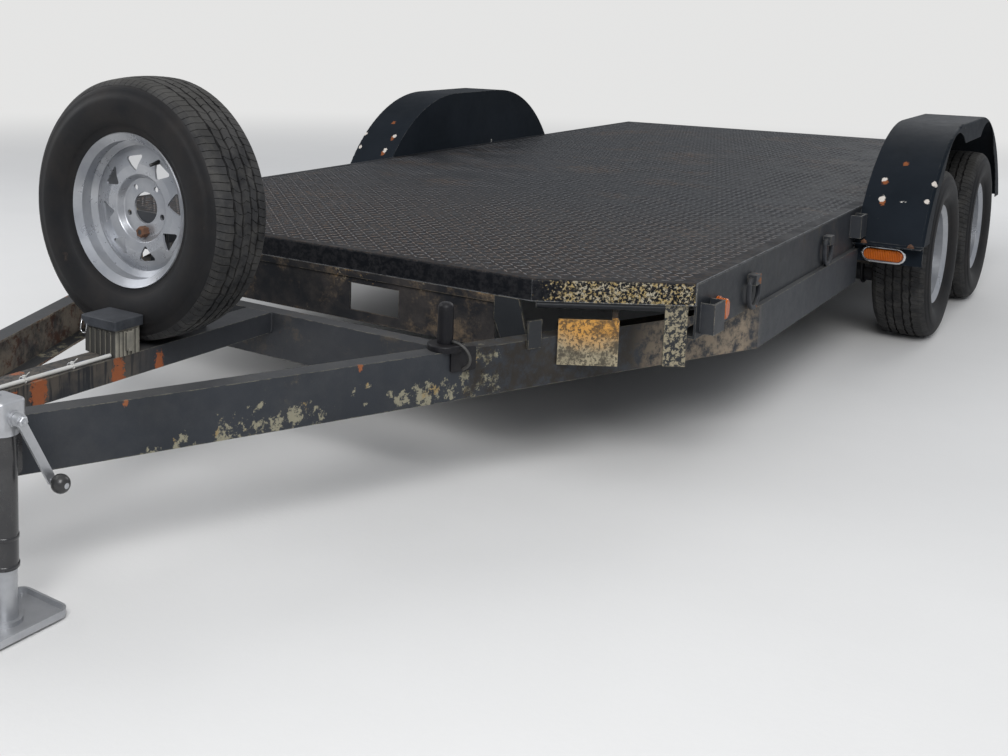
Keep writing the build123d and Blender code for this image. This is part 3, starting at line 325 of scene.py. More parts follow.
@dataclass(frozen=True)
class FlakedPaint:
    """Old black paint on steel, chipped to pale primer, worn bare on its edges and stained by rust and grime."""

    name: str
    paint: Colour = (0.014, 0.016, 0.02)
    faded: Colour = (0.034, 0.037, 0.043)
    ochre: Colour = (0.36, 0.235, 0.085)
    pale: Colour = (0.34, 0.315, 0.245)
    rust: Colour = (0.15, 0.052, 0.02)
    grime: Colour = (0.115, 0.092, 0.066)
    dust: Colour = (0.15, 0.14, 0.125)
    flaking: float = 0.35
    flake_scale: float = 62.0
    flake_rough: float = 0.66
    patch_scale: float = 3.2
    ochre_share: float = 0.35
    rust_share: float = 0.4
    grime_share: float = 0.2
    dusting: float = 0.22
    edge_wear: float = 0.55
    chips_top: Optional[float] = None
    chips_band: float = 0.05
    chips_rise: float = 0.0
    chips_front: float = 0.0
    chips_end: float = -1.6
    mottle: Optional[tuple[float, float]] = None
    # Where painted shade on the tan mottle gives way to painted sunlight, going back along the trailer. The mottle's
    # dark colour is painted shade; its light colour is the tan brightened as painted sunlight.
    painted_shade_end: float = -1.22
    mottle_painted_shade: Colour = (0.018, 0.0145, 0.011)
    mottle_tan_painted_sunlit: Colour = (0.24, 0.19, 0.135)
    # Inward faces get a pale blotchy tone mixed with rust: grime and rust, lightened as painted sunlight.
    inner_grime_and_painted_sun: float = 0.0
    inner_grime_tone_painted_sunlit: Colour = (0.36, 0.3, 0.23)
    streaks: float = 0.0
    streaks_end: float = 9.0
    rust_spots: tuple[Spot, ...] = ()
    pale_spots: tuple[Spot, ...] = ()
    gloss: float = 0.46
    shine: float = 0.3

    def make(self) -> bpy.types.Material:
        """Build the material."""
        board = NodeBoard(self.name)
        chipped = self.chips(board)
        edge = board.edges(0.0035) * board.noise(38.0, 5.0, 0.7).band(0.4, 0.6)
        edge = edge * self.edge_wear
        tone = board.mix(board.noise(1.7, 4.0, 0.6).band(0.3, 0.72), self.paint, self.faded)
        brushed = board.noise(30.0, 5.0, 0.7, board.stretched((1.0, 0.25, 1.0)))
        tone = board.mix(brushed.band(0.45, 0.75) * 0.35, tone, self.faded)
        grime = board.noise(6.5, 8.0, 0.78).band(0.66 - 0.3 * self.grime_share, 0.8 - 0.22 * self.grime_share)
        tone = board.mix(grime * 0.8, tone, self.grime)
        colour = board.mix(chipped, tone, self.undercoat(board))
        rusted = self.rusting(board)
        rust_tone = board.mix(board.noise(60.0, 4.0, 0.7), self.rust, (0.25, 0.1, 0.035))
        # The faded tan mottle is painted dark as shade towards the front and brightened as sunlight further back.
        if self.mottle:
            lit = board.along("Y").band(self.painted_shade_end - 0.06, self.painted_shade_end + 0.06)
            tan = board.mix(lit, self.mottle_painted_shade, self.mottle_tan_painted_sunlit)
            colour = board.mix(self.mottled(board) * board.noise(26.0, 6.0, 0.75).band(0.38, 0.6), colour, tan)
        # Inward faces: grime and rust blotches in a pale tone that is partly painted sunlight.
        if self.inner_grime_and_painted_sun > 0.0:
            dull = board.noise(12.0, 7.0, 0.75).band(0.3, 0.62)
            inner = board.inward() * dull * self.inner_grime_and_painted_sun
            blotch = board.noise(22.0, 6.0, 0.75).band(0.48, 0.6)
            colour = board.mix(inner, colour, board.mix(blotch, self.inner_grime_tone_painted_sunlit, self.rust))
        if self.streaks > 0.0:
            wet = board.along("Y").band(self.streaks_end, self.streaks_end - 0.12)
            runs = board.noise(95.0, 3.0, 0.6, board.stretched((1.0, 1.0, 0.07))).band(0.5, 0.58)
            runs = runs * wet
            pale_face = board.noise(7.0, 4.0, 0.6).band(0.36, 0.56) * wet
            colour = board.mix(pale_face * self.streaks, colour, self.grime)
            colour = board.mix(runs * 0.9, colour, self.paint)
        colour = board.mix(rusted, colour, rust_tone)
        if self.rust_spots:
            colour = board.mix(board.spots(self.rust_spots), colour,
                               board.mix(board.noise(90.0, 5.0, 0.7), self.rust, (0.3, 0.095, 0.034)))
        if self.pale_spots:
            colour = board.mix(board.spots(self.pale_spots), colour, (0.6, 0.55, 0.5))
        colour = board.mix(edge, colour, self.pale)
        dusty = board.facing_up() * board.noise(11.0, 6.0, 0.7) * (self.dusting * 1.6)
        film = board.noise(5.0, 6.0, 0.7).band(0.42, 0.72) * (self.dusting * 0.4)
        colour = board.mix(dusty | film, colour, self.dust)
        rough = board.mix(board.noise(24.0, 5.0, 0.7), (self.gloss - 0.1,) * 3, (self.gloss + 0.14,) * 3)
        rough = board.mix(chipped | grime, rough, (0.86,) * 3)
        rough = board.mix(rusted | dusty, rough, (0.92,) * 3)
        grain = board.mix(0.35, board.noise(240.0, 3.0, 0.6), board.noise(36.0, 4.0, 0.6))
        board.relief(board.mix(chipped, grain, (0.0,) * 3), 0.55, 0.0011)
        return board.surface(colour, rough, Specular_IOR_Level=self.shine)

    def mottled(self, board: NodeBoard) -> Level:
        """The stretch along the trailer where the paint has faded to a tan mottle."""
        start, end = self.mottle
        return board.along("Y").band(start, start + 0.04) * board.along("Y").band(end, end - 0.12)

    def chips(self, board: NodeBoard) -> Level:
        """Where the paint has chipped away.

        Args:
            board: The material's nodes.

        Returns:
            The chips' mask.
        """
        patches = board.noise(self.patch_scale, 3.0, 0.55)
        flakes = board.noise(self.flake_scale, 6.0, self.flake_rough)
        zone = patches.band(0.66 - 0.35 * self.flaking, 0.84 - 0.25 * self.flaking)
        if self.chips_top is not None:
            back = board.along("Y") - self.chips_front
            level = board.along("Z") - back * self.chips_rise
            wander = board.noise(6.0, 4.0, 0.6) * (self.chips_band * 4.0)
            low = (level + wander).band(self.chips_top + self.chips_band * 2.5, self.chips_top + self.chips_band * 1.5)
            clusters = board.noise(9.0, 3.0, 0.6).band(0.36, 0.56)
            low = low * clusters * back.band(0.0, 0.15)
            low = low * (1.0 - board.inward())
            zone = zone | low
        # Chips stop at chips_end, so most of the stretch in painted shade shows no pale chips.
        if self.mottle:
            ahead = board.along("Y").band(self.chips_end, self.chips_end - 0.1)
            zone = (zone | self.mottled(board) * 0.8) * ahead
        worn = flakes + zone * 0.26
        return worn.band(0.745 - 0.06 * self.flaking, 0.8 - 0.06 * self.flaking)

    def undercoat(self, board: NodeBoard) -> Level:
        """The colour that shows where the paint is gone.

        Args:
            board: The material's nodes.

        Returns:
            Primer, ochre and rust in patches.
        """
        ochre_cut = 0.24 * self.ochre_share
        rust_cut = 0.26 * self.rust_share
        stained = board.noise(self.flake_scale * 0.45, 3.0).band(0.62 - ochre_cut, 0.7 - ochre_cut)
        rusty = board.noise(self.patch_scale * 7.0, 5.0, 0.7).band(0.72 - rust_cut, 0.8 - rust_cut)
        return board.mix(rusty, board.mix(stained, self.pale, self.ochre), self.rust)

    def rusting(self, board: NodeBoard) -> Level:
        """Where rust has come through."""
        return board.noise(9.0, 6.0, 0.75).band(0.76 - 0.2 * self.rust_share, 0.81 - 0.2 * self.rust_share)


@dataclass(frozen=True)
class CornerSteel:
    """The corner under the clipped deck: ochre undercoat on the low plate, speckled paint on the rest."""

    name: str
    paint: Colour = (0.016, 0.018, 0.021)
    ochre: Colour = (0.5, 0.255, 0.06)
    tan: Colour = (0.3, 0.26, 0.175)
    dark: Colour = (0.03, 0.026, 0.022)
    brown: Colour = (0.085, 0.045, 0.025)
    plate_in: float = 0.7
    plate_out: float = 0.905
    plate_front: float = -1.552
    plate_top: float = 0.385
    plate_end: float = 0.443
    shine: float = 0.35

    def make(self) -> bpy.types.Material:
        """Build the material."""
        board = NodeBoard(self.name)
        width = board.width()
        middle = width.band(self.plate_in - 0.01, self.plate_in)
        middle = middle * width.band(self.plate_out + 0.02, self.plate_out + 0.01)
        middle = middle * board.along("Y").band(self.plate_front - 0.004, self.plate_front)
        over = board.along("Z").band(self.plate_end - 0.001, self.plate_end + 0.001)
        wavy = board.along("Z") + board.noise(16.0, 4.0, 0.6) * 0.09
        bare = board.mix(wavy.band(self.plate_top + 0.01, self.plate_top + 0.08), self.tan, self.ochre)
        spots = board.noise(120.0, 4.0, 0.7).band(0.49, 0.57)
        blotches = board.noise(24.0, 6.0, 0.75).band(0.47, 0.62)
        bare = board.mix(spots * 0.8 | blotches * 0.85, bare, self.dark)
        flecks = board.noise(95.0, 5.0, 0.7).band(0.47, 0.54)
        flecks = flecks * width.band(self.plate_out + 0.01, self.plate_out + 0.03)
        speckled = board.mix(flecks * 0.85, self.paint, self.tan)
        rusty = board.mix(board.noise(30.0, 5.0, 0.7).band(0.42, 0.62), self.dark, self.brown)
        colour = board.mix(middle, speckled, board.mix(over, bare, rusty))
        edge = board.edges(0.003) * board.noise(40.0, 5.0, 0.7).band(0.38, 0.56)
        edge = edge * (1.0 - over * middle)
        colour = board.mix(edge * 0.7, colour, self.tan)
        rough = board.mix(middle, (0.46,) * 3, (0.86,) * 3)
        board.relief(board.noise(90.0, 5.0, 0.7), 0.5, 0.0014)
        return board.surface(colour, rough, Specular_IOR_Level=self.shine)


@dataclass(frozen=True)
class Dusty:
    """A plain coloured solid with a film of dust, uneven gloss and fine grain."""

    name: str
    colour: Colour
    second: Colour
    dust: Colour = (0.3, 0.28, 0.25)
    dusting: float = 0.3
    roughness: float = 0.6
    uneven: float = 0.12
    metallic: float = 0.0
    scale: float = 9.0
    grain: float = 320.0
    grain_depth: float = 0.0002
    stain: Colour = (0.16, 0.08, 0.04)
    staining: float = 0.0
    coat: float = 0.0
    shine: float = 0.5
    # front: a darker colour for faces towards the trailer's front; it is painted shade, mixed with stain
    front: Optional[Colour] = None

    def make(self) -> bpy.types.Material:
        """Build the material."""
        board = NodeBoard(self.name)
        tone = board.mix(board.noise(self.scale, 5.0, 0.65).band(0.32, 0.7), self.colour, self.second)
        stain_cut = 0.3 * self.staining
        stain = board.noise(self.scale * 2.3, 6.0, 0.72).band(0.74 - stain_cut, 0.84 - stain_cut)
        tone = board.mix(stain * min(1.0, self.staining * 3.0), tone, self.stain)
        # Faces towards the trailer's front take the front colour: painted shade, flecked with stain.
        if self.front:
            tone = board.mix(board.forward(), tone, board.mix(board.noise(30.0, 5.0, 0.7), self.front, self.stain))
        film = board.noise(self.scale * 1.7, 7.0, 0.75).band(0.38, 0.75) * self.dusting
        dusty = board.facing_up() * self.dusting | film
        # Those front faces get no dust, so the painted shade on them stays dark.
        if self.front:
            dusty = dusty * (1.0 - board.forward())
        colour = board.mix(dusty, tone, self.dust)
        low, high = max(0.05, self.roughness - self.uneven), min(1.0, self.roughness + self.uneven)
        rough = board.mix(board.noise(self.scale * 3.0, 5.0, 0.7), (low,) * 3, (high,) * 3)
        rough = board.mix(dusty, rough, (0.9,) * 3)
        board.relief(board.noise(self.grain, 3.0, 0.6), 0.5, self.grain_depth)
        others: dict[str, object] = {"Specular_IOR_Level": self.shine}
        if self.coat > 0.0:
            others.update(Coat_Weight=self.coat, Coat_Roughness=0.12)
        if self.metallic > 0.0:
            others["Metallic"] = board.mix(dusty, (self.metallic,) * 3, (0.0,) * 3)
        return board.surface(colour, rough, **others)


@dataclass(frozen=True)
class WornTreadPlate:
    """Rolled tread plate: black paint rubbed to grey, browned where water stands and chipped along the lip."""

    name: str
    paint: Colour = (0.02, 0.022, 0.026)
    rubbed: Colour = (0.06, 0.061, 0.064)
    brown: Colour = (0.09, 0.055, 0.032)
    chipped: Colour = (0.36, 0.27, 0.12)
    pale_chip: Colour = (0.4, 0.36, 0.27)
    bright: Colour = (0.3, 0.31, 0.32)
    dust: Colour = (0.145, 0.13, 0.115)
    corner_in: float = 0.65
    corner_back: float = -1.22
    sheet_top: float = 0.5425
    shine: float = 0.1

    def make(self) -> bpy.types.Material:
        """Build the material."""
        board = NodeBoard(self.name)
        rub = board.noise(5.5, 8.0, 0.75).band(0.4, 0.66)
        tone = board.mix(rub, self.paint, self.rubbed)
        front = board.along("Y").band(0.2, -1.3)
        patches = board.noise(2.3, 6.0, 0.7).band(0.5, 0.66) | front * 0.75
        brown = patches * board.noise(46.0, 6.0, 0.75).band(0.42, 0.6)
        tone = board.mix(brown * 0.85, tone, self.brown)
        grit = board.noise(85.0, 6.0, 0.75).band(0.54, 0.66)
        tone = board.mix(grit * 0.55, tone, self.dust)
        side_face = board.along("Z").band(self.sheet_top, self.sheet_top - 0.004)
        tone = board.mix(side_face * 0.9, tone, board.mix(brown, self.paint, self.rubbed))
        corner = board.width().band(self.corner_in, self.corner_in + 0.14)
        corner = corner * board.along("Y").band(self.corner_back, self.corner_back - 0.1)
        lively = corner | board.noise(3.4, 3.0, 0.6).band(0.66, 0.84)
        flecks = board.noise(130.0, 4.0, 0.7) + lively * 0.225
        flecks = flecks.band(0.725, 0.775) * side_face
        fleck_tone = board.mix(board.noise(60.0, 3.0, 0.6).band(0.42, 0.6), self.chipped, self.pale_chip)
        tone = board.mix(flecks * 0.85, tone, fleck_tone)
        rim = board.edges(0.005) * board.noise(42.0, 5.0, 0.7).band(0.3, 0.52)
        colour = board.mix(rim * 0.75, tone, self.bright)
        rough = board.mix(rub, (0.46,) * 3, (0.74,) * 3)
        board.relief(board.noise(180.0, 4.0, 0.65), 0.5, 0.0006)
        return board.surface(colour, rough, Specular_IOR_Level=self.shine)


@dataclass(frozen=True)
class Lens:
    """A moulded lamp lens with upright flutes."""

    name: str
    colour: Colour
    deep: Colour

    def make(self) -> bpy.types.Material:
        """Build the material."""
        board = NodeBoard(self.name)
        wave = Level(board, board.node("TexWave", Vector=board.coords, Scale=55.0, Distortion=0.0).outputs["Fac"])
        colour = board.mix(board.noise(20.0, 4.0, 0.6), self.colour, self.deep)
        colour = board.mix(wave * 0.45, colour, self.deep)
        board.relief(wave, 0.8, 0.0025)
        rough = board.mix(board.noise(30.0, 4.0, 0.6), (0.12,) * 3, (0.34,) * 3)
        return board.surface(colour, rough, Coat_Weight=0.15, Coat_Roughness=0.1, Specular_IOR_Level=0.25)


class Finish(Enum):
    """Every finish on the trailer."""

    FRAME = FlakedPaint("frame paint", paint=(0.009, 0.011, 0.014), faded=(0.028, 0.031, 0.036), flaking=0.05,
                        grime_share=0.35, rust_share=0.3, edge_wear=0.4, dusting=0.14, shine=0.2)
    HEADER = FlakedPaint("header paint", flaking=0.62, flake_scale=90.0, ochre_share=0.8, rust_share=0.4,
                         paint=(0.007, 0.008, 0.01), faded=(0.015, 0.016, 0.019), ochre=(0.22, 0.14, 0.06),
                         pale=(0.2, 0.17, 0.12), grime=(0.15, 0.108, 0.068), grime_share=0.55, flake_rough=0.74,
                         dust=(0.25, 0.205, 0.17), dusting=0.34, shine=0.2)
    # On the tongue rails, the faded tan stretch is painted in shade towards the front and in sunlight further back.
    TONGUE = FlakedPaint("tongue paint", paint=(0.013, 0.016, 0.021), faded=(0.027, 0.031, 0.038), flaking=0.0,
                         flake_scale=34.0, flake_rough=0.76, ochre_share=0.2, rust_share=0.26, dusting=0.26,
                         edge_wear=0.8, grime_share=0.12, grime=(0.13, 0.105, 0.07), pale=(0.23, 0.215, 0.155),
                         ochre=(0.26, 0.19, 0.09), chips_top=0.262, chips_rise=0.085, chips_front=-2.93,
                         mottle=(-1.8, -0.76), inner_grime_and_painted_sun=0.6,
                         rust_spots=((0.29, -2.6, 0.396, 0.008), (0.52, -2.06, 0.396, 0.007)))
    CROSS = FlakedPaint("cross channel paint", flaking=0.05, rust_share=0.42, grime_share=0.4)
    CORNER = CornerSteel("corner steel")
    BEAM = FlakedPaint("beam paint", flaking=0.08, rust_share=0.42, rust=(0.24, 0.065, 0.022), dusting=0.14,
                       grime=(0.095, 0.08, 0.064), streaks=0.75, streaks_end=-2.25,
                       rust_spots=((0.044, -2.389, 0.35, 0.02), (0.044, -2.25, 0.347, 0.014),
                                   (0.044, -2.631, 0.366, 0.022), (0.044, -2.7, 0.352, 0.014)))
    BAR = FlakedPaint("bar paint", paint=(0.006, 0.007, 0.009), faded=(0.012, 0.014, 0.017), flaking=0.06,
                      rust_share=0.36, dusting=0.04, gloss=0.34, shine=0.2)
    MOUNT = FlakedPaint("mount paint", flaking=0.04, rust_share=0.3)
    FENDER = FlakedPaint("fender paint", paint=(0.005, 0.008, 0.012), faded=(0.011, 0.015, 0.021), flaking=0.12,
                         flake_scale=40.0, patch_scale=5.0, ochre_share=0.1, rust_share=0.12, grime_share=0.0,
                         pale=(0.52, 0.5, 0.46), dusting=0.03, gloss=0.54, edge_wear=0.2, shine=0.06,
                         rust_spots=((1.153, 0.623, 0.693, 0.01), (1.103, 0.539, 0.626, 0.01),
                                     (1.113, 0.474, 0.558, 0.01)),
                         pale_spots=((1.098, 0.549, 0.638, 0.009), (1.108, 0.483, 0.57, 0.01),
                                     (1.268, 0.549, 0.636, 0.009), (1.257, 0.488, 0.575, 0.008)))
    RING = FlakedPaint("ring paint", flaking=0.1, rust_share=0.72, rust=(0.19, 0.075, 0.035), edge_wear=0.5)
    POCKET = FlakedPaint("pocket paint", flaking=0.06, rust_share=0.42, edge_wear=0.7)
    AXLE = FlakedPaint("axle paint", flaking=0.2, rust_share=0.6, dusting=0.4, grime_share=0.7)
    DECK = WornTreadPlate("deck tread plate", (0.004, 0.005, 0.007), (0.018, 0.019, 0.022), (0.038, 0.026, 0.018),
                          dust=(0.085, 0.075, 0.066))
    LOZENGE = WornTreadPlate("worn lozenges", (0.026, 0.028, 0.032), (0.11, 0.111, 0.116), (0.13, 0.08, 0.05),
                             dust=(0.2, 0.185, 0.165))
    RUBBER = Dusty("tyre rubber", (0.0055, 0.006, 0.0075), (0.0105, 0.0105, 0.0115), (0.075, 0.058, 0.044), 0.14,
                   0.62, 0.1, scale=4.0, grain=500.0, stain=(0.06, 0.043, 0.031), staining=0.3, shine=0.22)
    TREAD = Dusty("tread rubber", (0.011, 0.0115, 0.013), (0.033, 0.033, 0.034), (0.16, 0.15, 0.13), 0.22, 0.74, 0.1,
                  scale=12.0, grain=500.0, shine=0.25)
    SILVER = Dusty("silver wheel paint", (0.3, 0.315, 0.345), (0.41, 0.42, 0.44), (0.4, 0.38, 0.35), 0.1, 0.28, 0.08,
                   0.62, scale=7.0, grain=380.0, stain=(0.26, 0.2, 0.15), staining=0.03)
    DRUM = Dusty("drum iron", (0.1, 0.075, 0.06), (0.16, 0.11, 0.075), dusting=0.2, roughness=0.8, metallic=0.3)
    ZINC = Dusty("zinc plate", (0.38, 0.39, 0.41), (0.5, 0.51, 0.53), (0.38, 0.365, 0.34), 0.14, 0.36, 0.1, 0.8,
                 stain=(0.22, 0.16, 0.11), staining=0.2)
    CHROME = Dusty("bright trim", (0.62, 0.63, 0.64), (0.72, 0.72, 0.73), dusting=0.08, roughness=0.16, uneven=0.06,
                   metallic=1.0)
    RUSTY = Dusty("rusty steel", (0.15, 0.06, 0.028), (0.075, 0.038, 0.025), (0.24, 0.16, 0.1), 0.2, 0.88, 0.06,
                  scale=40.0, grain=700.0, grain_depth=0.0006)
    JACK = Dusty("jack enamel", (0.01, 0.01, 0.012), (0.02, 0.02, 0.022), (0.2, 0.19, 0.17), dusting=0.08,
                 roughness=0.22, coat=0.4)
    KNOB = Dusty("black plastic", (0.012, 0.012, 0.013), (0.026, 0.026, 0.027), (0.2, 0.19, 0.17), dusting=0.08,
                 roughness=0.28)
    # The box's front colour is painted shade on its front face; its sides keep the pale plastic.
    BOX = Dusty("box plastic", (0.15, 0.145, 0.125), (0.25, 0.235, 0.195), (0.3, 0.275, 0.22), 0.34, 0.72, 0.1,
                scale=22.0, grain=260.0, grain_depth=0.0005, stain=(0.055, 0.052, 0.045), staining=0.3,
                front=(0.02, 0.021, 0.02))
    LID = Dusty("lid plastic", (0.018, 0.021, 0.026), (0.04, 0.044, 0.052), (0.12, 0.12, 0.125), 0.16, 0.6, 0.1,
                scale=16.0, grain=150.0, grain_depth=0.0012, shine=0.3)
    HOUSING = Dusty("black housing", (0.006, 0.006, 0.008), (0.016, 0.016, 0.018), (0.1, 0.085, 0.07), dusting=0.06,
                    roughness=0.45, shine=0.2)
    WIRE_WHITE = Dusty("white sheath", (0.62, 0.62, 0.6), (0.5, 0.5, 0.47), dusting=0.15, roughness=0.45)
    WIRE_BLUE = Dusty("blue sheath", (0.04, 0.09, 0.26), (0.08, 0.14, 0.32), dusting=0.2, roughness=0.45)
    HOSE = Dusty("black hose", (0.022, 0.022, 0.022), (0.05, 0.048, 0.045), (0.14, 0.13, 0.11), 0.2, 0.5)
    AMBER = Lens("amber lens", (0.7, 0.17, 0.006), (0.3, 0.05, 0.004))
    RED = Lens("red lens", (0.45, 0.015, 0.015), (0.28, 0.01, 0.01))

    def material(self) -> bpy.types.Material:
        """The finish's material, built once."""
        return bpy.data.materials.get(self.value.name) or self.value.make()


def both(*stems: str) -> list[str]:
    """The left and the right node of each stem."""
    return [f"{stem}_{side}" for stem in stems for side in SIDES]


def middle_of(name: str) -> Vector:
    """The middle of a CAD node's box."""
    low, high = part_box(name)
    return (Vector(low) + Vector(high)) / 2


def dress(finish: Finish, *nodes: str) -> None:
    """Give CAD nodes a finish.

    Args:
        finish: The finish.
        nodes: The nodes' names.
    """
    for name in nodes:
        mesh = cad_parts[name].data
        mesh.materials.clear()
        mesh.materials.append(finish.material())
    LOG.info("%s on %s", finish.value.name, ", ".join(nodes))


class Shape:
    """Plain solids gathered into one mesh, which becomes one piece."""

    def __init__(self) -> None:
        """Start with nothing in it."""
        self.points: list[Vector] = []
        self.faces: list[tuple[int, ...]] = []
        self.smooth: list[bool] = []

    def add(self, points: Iterable[Vector], faces: Iterable[Sequence[int]], smooth: bool = False) -> None:
        """Add points and the faces among them.

        Args:
            points: The corners.
            faces: Corner numbers, counted from the first of these points.
            smooth: Whether the faces are shaded smooth.
        """
        base = len(self.points)
        self.points.extend(Vector(point) for point in points)
        for face in faces:
            self.faces.append(tuple(base + corner for corner in face))
            self.smooth.append(smooth)

    def skin(self, points: Sequence[Vector], around: int, smooth: bool, capped: bool = False) -> None:
        """Add a skin over rings of points.

        Args:
            points: The rings' points, one ring after the other.
            around: Points in a ring.
            smooth: Whether the skin is shaded smooth.
            capped: Whether the first and the last ring are closed.
        """
        faces: list[tuple[int, ...]] = []
        for ring in range(0, len(points) - around, around):
            for step in range(around):
                after = (step + 1) % around
                faces.append((ring + step, ring + after, ring + around + after, ring + around + step))
        if capped:
            faces += [tuple(reversed(range(around))), tuple(range(len(points) - around, len(points)))]
        self.add(points, faces, smooth)

    def box(self, low: Point, high: Point) -> None:
        """Add an upright box between its lowest and its highest corner."""
        corners = [Vector((x, y, z)) for z in (low[2], high[2]) for y in (low[1], high[1]) for x in (low[0], high[0])]
        self.add(corners, [(0, 2, 3, 1), (4, 5, 7, 6), (0, 1, 5, 4), (2, 6, 7, 3), (0, 4, 6, 2), (1, 3, 7, 5)])

    def lathe(self, profile: Sequence[tuple[float, float]], start: Vector, axis: Vector, segments: int = 24,
              smooth: bool = True) -> None:
        """Turn a profile about an axis.

        Args:
            profile: Distance along the axis and radius of each point, in order.
            start: Where the axis starts.
            axis: Its direction.
            segments: Steps in a full turn.
            smooth: Whether the sides are shaded smooth.
        """
        along = axis.normalized()
        side = along.orthogonal().normalized()
        other = along.cross(side)
        points = []
        for distance, radius in profile:
            for step in range(segments):
                angle = math.tau * step / segments
                spoke = side * math.cos(angle) + other * math.sin(angle)
                points.append(start + along * distance + spoke * max(radius, 1e-05))
        self.skin(points, segments, smooth)

    def rod(self, start: Vector, end: Vector, radius: float, segments: int = 14) -> None:
        """Add a closed round rod between the middles of its ends."""
        length = (end - start).length
        self.lathe([(0, 0), (0, radius), (length, radius), (length, 0)], start, end - start, segments, smooth=False)

    def bolt(self, seat: Vector, axis: Vector, across: float, washer: float = 0.0) -> None:
        """Add a hexagon bolt's head with an optional washer and a domed end.

        Args:
            seat: Where it seats.
            axis: Away from the seat.
            across: The hexagon's width over its corners.
            washer: The washer's diameter, or 0 for none.
        """
        way = axis.normalized()
        height = across * 0.36
        if washer > 0.0:
            self.lathe([(0, 0), (0, washer / 2), (0.0022, washer / 2), (0.0022, 0)], seat, way, 20, smooth=False)
            seat = seat + way * 0.002
        self.lathe([(0, 0), (0, across / 2), (height * 0.82, across / 2), (height, across * 0.42), (height, 0)], seat,
                   way, 6, smooth=False)
        self.lathe([(height, across * 0.22), (height * 1.5, across * 0.21), (height * 1.62, 0.0)], seat, way, 12,
                   smooth=False)

    def tube(self, path: Sequence[Vector], radius: float, segments: int = 8) -> None:
        """Add a round tube along a path.

        Args:
            path: Points along the middle.
            radius: The tube's radius.
            segments: Sides round it.
        """
        points = []
        normal = None
        for number, point in enumerate(path):
            ahead = path[min(number + 1, len(path) - 1)] - path[max(number - 1, 0)]
            ahead.normalize()
            if normal is None:
                normal = ahead.orthogonal().normalized()
            normal = (normal - ahead * normal.dot(ahead)).normalized()
            other = ahead.cross(normal)
            for step in range(segments):
                angle = math.tau * step / segments
                points.append(point + (normal * math.cos(angle) + other * math.sin(angle)) * radius)
        self.skin(points, segments, smooth=True, capped=True)

    def build(self, name: str, body: str, slot: str, finish: Finish, bevel: float = 0.0) -> bpy.types.Object:
        """Make the piece.

        Args:
            name: The piece's name.
            body: The body that it rides on.
            slot: A material slot's name; not used.
            finish: Its finish.
            bevel: The width of a bevel on sharp edges, or 0 for none.

        Returns:
            The piece.
        """
        mesh = bpy.data.meshes.new(name)
        mesh.from_pydata([tuple(point) for point in self.points], [], self.faces)
        mesh.polygons.foreach_set("use_smooth", self.smooth)
        mesh.materials.append(finish.material())
        mesh.update()
        piece = bpy.data.objects.new(name, mesh)
        bpy.context.scene.collection.objects.link(piece)
        if bevel > 0.0:
            rounding = piece.modifiers.new("edges", "BEVEL")
            rounding.width = bevel
            rounding.segments = 2
            rounding.limit_method = "ANGLE"
        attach(piece, body)
        LOG.info("%s: %d faces on %s", name, len(self.faces), body)
        return piece


def stadium(length: float, height: float, steps: int = 8) -> list[tuple[float, float]]:
    """Points round a slot shape that is longest along its first axis.

    Args:
        length: Its overall length.
        height: Its overall height.
        steps: Straight runs in each round end.

    Returns:
        The points in order.
    """
    radius = height / 2
    reach = length / 2 - radius
    points = []
    for end in (1, -1):
        for step in range(steps + 1):
            angle = math.pi * step / steps - math.pi / 2
            points.append((end * (reach + radius * math.cos(angle)), end * radius * math.sin(angle)))
    return points


